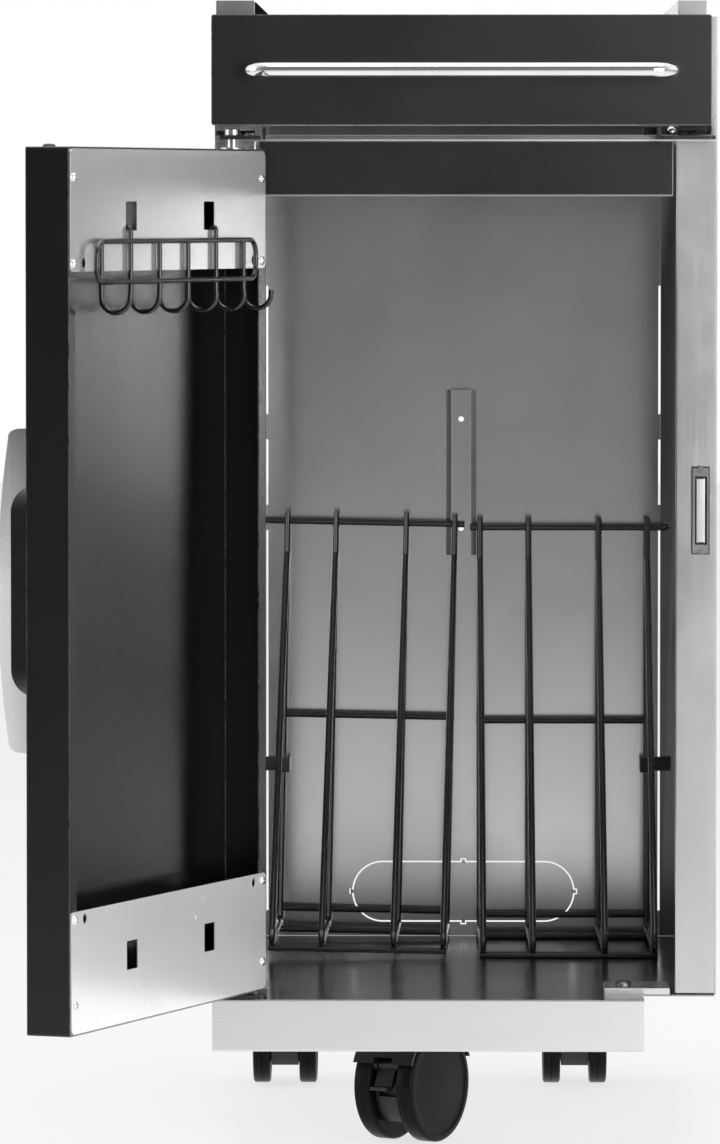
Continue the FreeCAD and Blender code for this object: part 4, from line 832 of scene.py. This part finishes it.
to_handle = box_middle("door_handle") - box_middle("upper_liner")
liner_way = sorted(nodes["upper_liner"].data.polygons, key=lambda face: face.area)[-1].normal
door_out = Vector((liner_way.x, liner_way.y, 0.0)).normalized()
if door_out.dot(to_handle) < 0:
    door_out = -door_out
along = Vector((-door_out.y, door_out.x, 0.0))
if along.y > 0:
    along = -along
place_screws("liner_screws", -door_out, 3.4 * MM, 2.0 * MM, 1.6 * MM, CHROME)
place_screws("handle_screws", -door_out, 3.4 * MM, 2.0 * MM, 1.6 * MM, ZINC)

# %% [markdown]
# The remaining fasteners stand square to the cabinet. The bracket screws are small pan heads, and
# they reuse the screw above. Nuts are hexagons: a six-sided circle, extruded up, with a last short
# step drawn in for the chamfer that every pressed hexagon has. A caster bolt is a round head under
# its plate, a bar and a lock nut.

# %% Bolts and nuts
def hexagon(name, corner_radius, height, chamfer):
    """A hexagon on z = 0, chamfered at the top."""
    steps = [(height - chamfer, corner_radius), (chamfer, corner_radius - 1.5 * chamfer)]
    return turn_up(name, corner_radius, steps, 6)


def round_bar(name, radius, low, high):
    """A bar along Z from low to high with chamfered ends."""
    chamfer = 0.12 * radius
    end = radius - chamfer
    steps = [(chamfer, radius), (high - low - 2 * chamfer, radius), (chamfer, end)]
    piece = turn_up(name, end, steps, 24)
    piece.location = (0.0, 0.0, low)
    settle(piece)
    return piece


def place_copies(node, way, master, finish):
    """Copy a master, made with its seat at z = 0, to each solid of a node."""
    copies = []
    for points in islands(node):
        centre = middle(points)
        twin = copy_of(master, "copy")
        aim(twin, centre + way * (reach(points, way)[0] - centre.dot(way)), way)
        copies.append(twin)
    bpy.data.objects.remove(master)
    dress(node, copies, finish)


UP, FORWARD = Vector((0.0, 0.0, 1.0)), Vector((0.0, -1.0, 0.0))
JOINING_HEAD, NUT_SEAT = 3.6 * MM, 7.5 * MM
place_screws("bracket_screws", UP, 4.0 * MM, 2.5 * MM, 2.5 * MM, ZINC)
second_finish("dressed_bracket_screws", BLACK_PLATE, lambda place, way: place.x > panel_middle.x)
place_screws("joining_bolt", UP, 7.0 * MM, JOINING_HEAD, 4.0 * MM, AGED)
bolt_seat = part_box("joining_bolt")[1].z - JOINING_HEAD
move_points("dressed_joining_bolt", lambda place, way: place.z > bolt_seat - 2.0 * MM,
            (0.0, 0.0, plate_top - bolt_seat))
lock_nut = hexagon("lock_nut", 5.0 * MM, 5.0 * MM, 0.5 * MM)
lock_nut.location = (0.0, 0.0, NUT_SEAT)
settle(lock_nut)
bolt_head = turn_up("bolt_head", 4.6 * MM, in_mm((0.4, 5.0), (2.6, 5.0)), 24)
bolt_shank = round_bar("bolt_shank", 3.0 * MM, 2.0 * MM, 14.5 * MM)
bolt = join_as("caster_bolt", [bolt_head, lock_nut, bolt_shank])
place_copies("caster_bolts", UP, bolt, ZINC)
nut = hexagon("towel_bar_nut", 9.0 * MM, 6.0 * MM, 0.7 * MM)
place_copies("towel_bar_nuts", FORWARD, nut, ZINC)

# %% [markdown]
# A caster runs on two hard wheels with the fork between them. Each wheel is one turned moulding: a
# flat tread with rounded shoulders, a thin raised rim, and a slightly domed disc. The thin rim is
# the pale line that the photograph shows round the disc. The wheels are turned standing on their
# inner side and then laid onto the axle.

# %% Turn one wheel
CASTERS = ("front", "rear_left", "rear_right")
WHEEL_WIDTH, WHEEL_HUB = 15.0 * MM, 11.0 * MM
WHEEL_PROFILE = in_mm(
    (0.0, 30.0), (0.9, 31.0), (0.0, 38.5), (-0.9, 39.5), (0.0, 43.2), (0.5, 44.5), (1.3, 45.5),
    (5.3, 45.5), (0.25, 45.2), (0.25, 45.5), (5.3, 45.5), (1.2, 44.7), (0.6, 43.4), (0.2, 41.6),
    (0.0, 40.2), (-0.7, 39.7), (-0.6, 38.6), (0.2, 34.0), (0.3, 26.0), (0.3, 18.0), (0.2, 12.0),
    (0.1, 6.0), (0.0, 2.0))
wheel = turn_up("wheel", WHEEL_HUB, WHEEL_PROFILE, 96)
for caster in CASTERS:
    for side, other in (("left", "right"), ("right", "left")):
        name = f"{caster}_caster_wheel_{side}"
        centre = box_middle(name)
        outward = (centre - box_middle(f"{caster}_caster_wheel_{other}")).normalized()
        twin = copy_of(wheel, f"turned_{name}")
        aim(twin, centre - outward * WHEEL_WIDTH / 2, outward)
        finish_piece(twin, body_of[name], "tread", TREAD, name)
bpy.data.objects.remove(wheel)

# %% [markdown]
# The wheel's outer disc is closed, so no axle end shows from outside. The axle itself is a plated
# bar with chamfered ends that stops just under the discs.

# %% Axles
AXLE_RADIUS = DISC_COVER = 4.0 * MM
for caster in CASTERS:
    name = f"{caster}_caster_axle"
    line = (box_middle(f"{caster}_caster_wheel_right")
            - box_middle(f"{caster}_caster_wheel_left")).normalized()
    low, high = reach(points_of(name), line)
    half = (high - low) / 2 - DISC_COVER
    bar = round_bar(f"turned_{name}", AXLE_RADIUS, -half, half)
    aim(bar, box_middle(name), line)
    finish_piece(bar, body_of[name], "zinc", ZINC, name)
print("axles long", round(2 * half, 4))

# %% [markdown]
# The handle is a cast strap. Its outside is one long shallow arc, and the finger opening inside has
# straight walls that end in wide round corners. A boolean of a very large cylinder and a block
# gives a truer arc than bending could, and a second block with two bevelled corners cuts the
# opening. It is made upright at the origin, with the door's face at y = 0, and then swung onto the
# door. Its colour is painted light and shade, bright below and darker towards the top, and its
# faces towards the door are painted near black as shade.

# %% Cast the door handle
HANDLE_LONG, HANDLE_WIDE = 244.0 * MM, 30.0 * MM
HANDLE_PROUD, HANDLE_END = 31.0 * MM, 21.0 * MM
HANDLE_BAR, HANDLE_MOUTH = 11.4 * MM, 158.0 * MM
MOUTH_CORNER, END_CORNER = 20.0 * MM, 9.0 * MM
SPARE = 10.0 * MM  # how far a cutting shape stands past what it cuts


def round_edges(piece, radius, segments, test):
    """Bevel chosen edges to a round corner."""
    choose(piece, "EDGE", test)
    bpy.ops.mesh.bevel(offset=radius, segments=segments, affect="EDGES")
    leave()


def handle_finish_painted_light(low, high):
    """Cast silver painted bright below and darker towards the top, as painted light and shade."""
    material, tree, shader = new_finish("cast silver", grey(0.8), 0.45, 0.24)
    where = coordinates(tree)
    split = node(tree, "ShaderNodeSeparateXYZ")
    tree.links.new(where, split.inputs[0])
    marks = effect(tree, MARKS, where, Size=14.0)
    wavy = spread(tree, marks["Mask"], 0.0, 1.0, -0.01, 0.01)
    # Painted light and shade: the colour darkens from low to high.
    painted_shade_up = spread(tree, maths(tree, "ADD", split.outputs["Z"], wavy), low, high)
    tint(tree, shader, painted_shade_up, grey(0.95), grey(0.26))
    vary_gloss(tree, shader, marks["Mask"], 0.20, 0.30)
    raise_bump(tree, shader, effect(tree, PEEL, where, Scale=900.0)["Height"], 0.05)
    return material


half_long, half_wide = HANDLE_LONG / 2, HANDLE_WIDE / 2
strap = block(
    "strap", (-half_wide, 0.0, -half_long), (half_wide, HANDLE_PROUD + SPARE, half_long))
rise = HANDLE_PROUD - HANDLE_END
arc = (half_long ** 2 + rise ** 2) / (2 * rise)
only()
bpy.ops.mesh.primitive_cylinder_add(
    vertices=720, radius=arc, depth=2 * HANDLE_WIDE, location=(0.0, HANDLE_PROUD - arc, 0.0),
    rotation=(0.0, math.pi / 2, 0.0))
combine(strap, bpy.context.object, "INTERSECT")
mouth = block(
    "mouth", (-HANDLE_WIDE, -SPARE, -HANDLE_MOUTH / 2),
    (HANDLE_WIDE, HANDLE_PROUD - HANDLE_BAR, HANDLE_MOUTH / 2))
round_edges(
    mouth, MOUTH_CORNER, 12, lambda place, way: abs(way.x) > HANDLE_WIDE and place.y > 0.0)
combine(strap, mouth, "DIFFERENCE")
round_edges(
    strap, END_CORNER, 8,
    lambda place, way: (abs(way.x) > 0.9 * HANDLE_WIDE and place.y > HANDLE_END / 2
                        and abs(abs(place.z) - half_long) < 0.1 * MM))
ease(strap, 1.6 * MM, 3)
side_to_side, out = (reach(points_of("door_handle"), way) for way in (along, door_out))
seat = along * sum(side_to_side) / 2 + door_out * out[0]
seat.z = box_middle("door_handle").z
strap.rotation_euler = (0.0, 0.0, math.atan2(door_out.y, door_out.x) - math.pi / 2)
strap.location = seat
strap.name = "cast_door_handle"
# Heights of the painted light below and the painted shade above.
painted_light_below, painted_shade_above = seat.z + 5.0 * MM, seat.z + half_long
finish_piece(strap, "door", "silver", handle_finish_painted_light(painted_light_below, painted_shade_above), "door_handle")
# The faces towards the door are painted near black as shade.
second_finish("cast_door_handle", HANDLE_SHADE_PAINT, lambda place, way: way.dot(door_out) < -0.3)
print("handle faces", len(strap.data.polygons), "arc radius", round(arc, 3))

# %% [markdown]
# A rubber button sits on the door's top edge, near its free end, and keeps the door from slapping
# the frame. It is turned like the wheels. The door's free edge wears a coat without the second
# gloss.

# %% Door button and door edge
BUTTON_IN, BUTTON_BACK, BUTTON_SUNK = 24.0 * MM, 9.0 * MM, 0.1 * MM
second_finish("eased_door_pan", DOOR_EDGE, lambda place, way: way.dot(along) > TURNED)
button = turn_up(
    "door_button", 5.0 * MM, in_mm((0.6, 5.2), (0.9, 4.6), (0.6, 3.4), (0.3, 1.6)), 32)
free_end, outer_face = (reach(points_of("door_pan"), way)[1] for way in (along, door_out))
button.location = along * (free_end - BUTTON_IN) + door_out * (outer_face - BUTTON_BACK)
button.location.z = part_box("door_pan")[1].z - BUTTON_SUNK
finish_piece(button, "door", "black_plastic", PLASTIC)
print("button at", [round(v, 4) for v in middle([vertex.co for vertex in button.data.vertices])])

# %% [markdown]
# Two dark screws hold the case of the catch, and a small plastic block keeps the magnet in at each
# end. The screws are the pan head from before.

# %% Catch screws and magnet keepers
case_low, case_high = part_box("catch_housing")
SCREW_INSET = 5.2 * MM
for number, level in enumerate((case_low.z + SCREW_INSET, case_high.z - SCREW_INSET)):
    catch_screw = pan_screw(f"catch_screw_{number}", 2.7 * MM, 1.2 * MM, 1.2 * MM)
    aim(catch_screw, ((case_low.x + case_high.x) / 2, case_low.y + 0.4 * MM, level), FORWARD)
    finish_piece(catch_screw, "cabinet", "black_steel", GREY_CASE)
magnet_low, magnet_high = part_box("catch_magnet")
KEEPER_INSET = 1.8 * MM
for number, bottom in enumerate((magnet_low.z - 0.4 * MM, magnet_high.z - 1.4 * MM)):
    keeper = block(
        f"magnet_keeper_{number}",
        (magnet_low.x + KEEPER_INSET, magnet_low.y - 0.5 * MM, bottom),
        (magnet_high.x - KEEPER_INSET, magnet_low.y + 1.0 * MM, bottom + 1.8 * MM))
    ease(keeper, 0.2 * MM)
    finish_piece(keeper, "cabinet", "black_plastic", PLASTIC)
print("catch height", round(case_high.z - case_low.z, 4))

# %% [markdown]
# The top plate ends at the front in a low lip and the right side sheet in a narrow one, a black
# strip painted on as shade lines the inside of the left worktop rail, and behind the fascia a black
# stop block is held by one bright screw. Each is a block with rounded edges, because nothing more of
# it shows.

# %% Lips, shade strip and stop block
def small_block(name, low, high, edge, slot, finish):
    piece = block(name, low, high)
    ease(piece, edge * MM)
    finish_piece(piece, "cabinet", slot, finish)


plate_front, plate_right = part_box("top_plate")[0].y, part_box("top_plate")[1].x
side_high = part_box("right_side_panel")[1]
rail_low, rail_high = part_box("left_worktop_rail")
small_block(
    "top_plate_lip", (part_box("left_top_bracket")[1].x, plate_front, plate_high),
    (plate_right, plate_front + 1.2 * MM, plate_high + 3.6 * MM), 0.4, "satin_steel", BRIGHT_DEEP)
small_block(
    "side_panel_lip", (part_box("fascia")[1].x + 0.8 * MM, plate_front - 0.2 * MM, plate_high),
    (side_high.x, plate_front + 1.0 * MM, side_high.z - 0.5 * MM), 0.3, "satin_steel", SATIN_UP)
# A black strip on the rail's inner face is painted shade.
small_block(
    "worktop_foam", (rail_high.x - 0.1 * MM, rail_low.y + 20.0 * MM, rail_high.z - 70.0 * MM),
    (rail_high.x + 1.2 * MM, rail_high.y - 20.0 * MM, rail_high.z - 1.0 * MM), 0.4,
    "black_plastic", SHADE_BLACK_STRIP)
STOP_LEFT, STOP_RIGHT, STOP_SCREW = 217.0 * MM, 243.5 * MM, 239.3 * MM
STOP_FRONT, STOP_BACK = -60.0 * MM, -46.0 * MM
STOP_HIGH, STOP_SCREW_HIGH = plate_high + 10.4 * MM, plate_high + 6.4 * MM
small_block(
    "stop_block", (STOP_LEFT, STOP_FRONT, plate_high), (STOP_RIGHT, STOP_BACK, STOP_HIGH), 0.8,
    "black_plastic", PLASTIC)
stop_screw = turn_up(
    "stop_screw", 4.0 * MM, in_mm((0.7, 3.9), (1.0, 3.3), (0.9, 2.3), (0.5, 1.0)), 32)
aim(stop_screw, (STOP_SCREW, STOP_FRONT, STOP_SCREW_HIGH), FORWARD)
finish_piece(stop_screw, "cabinet", "zinc", CHROME)
print("stop block on", round(plate_high, 4))

# %% [markdown]
# The studio is a pale floor and a white surround. Only the camera and glossy rays see the surround
# as white, so the lamps alone light the painted parts. To metal, the surround dims towards the
# camera and the floor darkens far away, which shades the sheets.

# %% Stage and light
def seen_as_white(tree):
    """Masks of the camera's rays and of mirrored rays, which both meet a white surround."""
    path = node(tree, "ShaderNodeLightPath")
    mirrored = maths(tree, "MAXIMUM", path.outputs["Is Glossy Ray"],
                     path.outputs["Is Transmission Ray"])
    return path.outputs["Is Camera Ray"], mirrored


def studio_world(fill, dim_end):
    """White to the camera. To metal it is white round the object and dims to one end."""
    world = bpy.data.worlds.new("studio")
    bpy.context.scene.world = world
    world.use_nodes = True
    tree = world.node_tree
    background = tree.nodes["Background"]
    background.inputs["Color"].default_value = (1.0, 1.0, 1.0, 1.0)
    camera, mirrored = seen_as_white(tree)
    way = node(tree, "ShaderNodeSeparateXYZ")
    tree.links.new(node(tree, "ShaderNodeTexCoord").outputs["Generated"], way.inputs[0])
    dimmed = spread(tree, way.outputs["Y"], -0.85, 0.1, dim_end, 1.0)
    dimmed.node.interpolation_type = "SMOOTHSTEP"
    light = spread(tree, mirrored, 0.0, 1.0, fill, dimmed)
    tree.links.new(spread(tree, camera, 0.0, 1.0, light, 1.0), background.inputs["Strength"])


def floor(near, far, far_light):
    """White near the object. Seen in metal, it darkens from near to far away."""
    only()
    bpy.ops.mesh.primitive_plane_add(size=30.0, location=(0.0, 0.0, -0.5 * MM))
    plane = bpy.context.object
    plane.name = "studio_floor"
    material, tree, shader = new_finish("studio floor", grey(0.9), 0.0, 0.8)
    camera, mirrored = seen_as_white(tree)
    away = node(tree, "ShaderNodeVectorMath", operation="LENGTH")
    tree.links.new(node(tree, "ShaderNodeTexCoord").outputs["Object"], away.inputs[0])
    lit = spread(tree, away.outputs["Value"], near, far, 1.0, far_light)
    white = node(tree, "ShaderNodeEmission")
    white.inputs["Color"].default_value = (1.0, 1.0, 1.0, 1.0)
    tree.links.new(spread(tree, mirrored, 0.0, 1.0, 1.0, lit), white.inputs["Strength"])
    seen = maths(tree, "MULTIPLY", maths(tree, "MAXIMUM", camera, mirrored), 0.72)
    blend = node(tree, "ShaderNodeMixShader")
    tree.links.new(spread(tree, mirrored, 0.0, 1.0, seen, 0.95), blend.inputs[0])
    tree.links.new(shader.outputs[0], blend.inputs[1])
    tree.links.new(white.outputs[0], blend.inputs[2])
    tree.links.new(blend.outputs[0], tree.nodes["Material Output"].inputs["Surface"])
    plane.data.materials.append(material)


def hold(data, place, way):
    """Hold a lamp or a camera at a place, looking a way."""
    holder = bpy.data.objects.new(data.name, data)
    bpy.context.scene.collection.objects.link(holder)
    aim(holder, place, way, "-Z")
    return holder


def lamp(name, place, target, size, power):
    """A soft rectangle of light that the camera doesn't see."""
    light = bpy.data.lights.new(name, "AREA")
    light.shape = "RECTANGLE"
    light.size, light.size_y = size
    light.energy = power
    hold(light, place, Vector(target) - Vector(place)).visible_camera = False


studio_world(0.50, 0.18)
floor(1.2, 6.0, 0.22)
lamp("softbox", (1.6, -2.7, 0.8), (0.1, 0.0, 0.45), (2.2, 2.2), 54.0)
lamp("left", (-2.9, -0.3, 1.3), (-0.1, 0.1, 0.5), (1.6, 2.0), 20.0)
lamp("overhead", (0.2, -0.4, 3.2), (0.0, 0.2, 0.4), (2.4, 2.4), 45.0)
print("lamps", [light.name for light in bpy.data.lights])

# %% [markdown]
# The photograph was taken from far away with a long lens, level with the top of the door opening
# and almost straight on. A camera fitted to the photograph's edges, with no shift, lands here.

# %% Camera
front_x, front_y = box_middle("fascia").x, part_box("fascia")[0].y
CAMERA_PLACE = Vector((front_x - 1.36 * MM, front_y - 6.295, 0.753))
CAMERA_PITCH, CAMERA_YAW = math.radians(-2.657), math.radians(-0.7147)
lens = bpy.data.cameras.new("photo_camera")
lens.lens = 251.24
lens.sensor_width = 36.0
lens.clip_end = 100.0
looking = Vector((math.sin(CAMERA_YAW) * math.cos(CAMERA_PITCH),
                  math.cos(CAMERA_YAW) * math.cos(CAMERA_PITCH), math.sin(CAMERA_PITCH)))
bpy.context.scene.camera = hold(lens, CAMERA_PLACE, looking)
bpy.context.scene.view_settings.view_transform = "Standard"
print("camera", [round(v, 3) for v in CAMERA_PLACE])
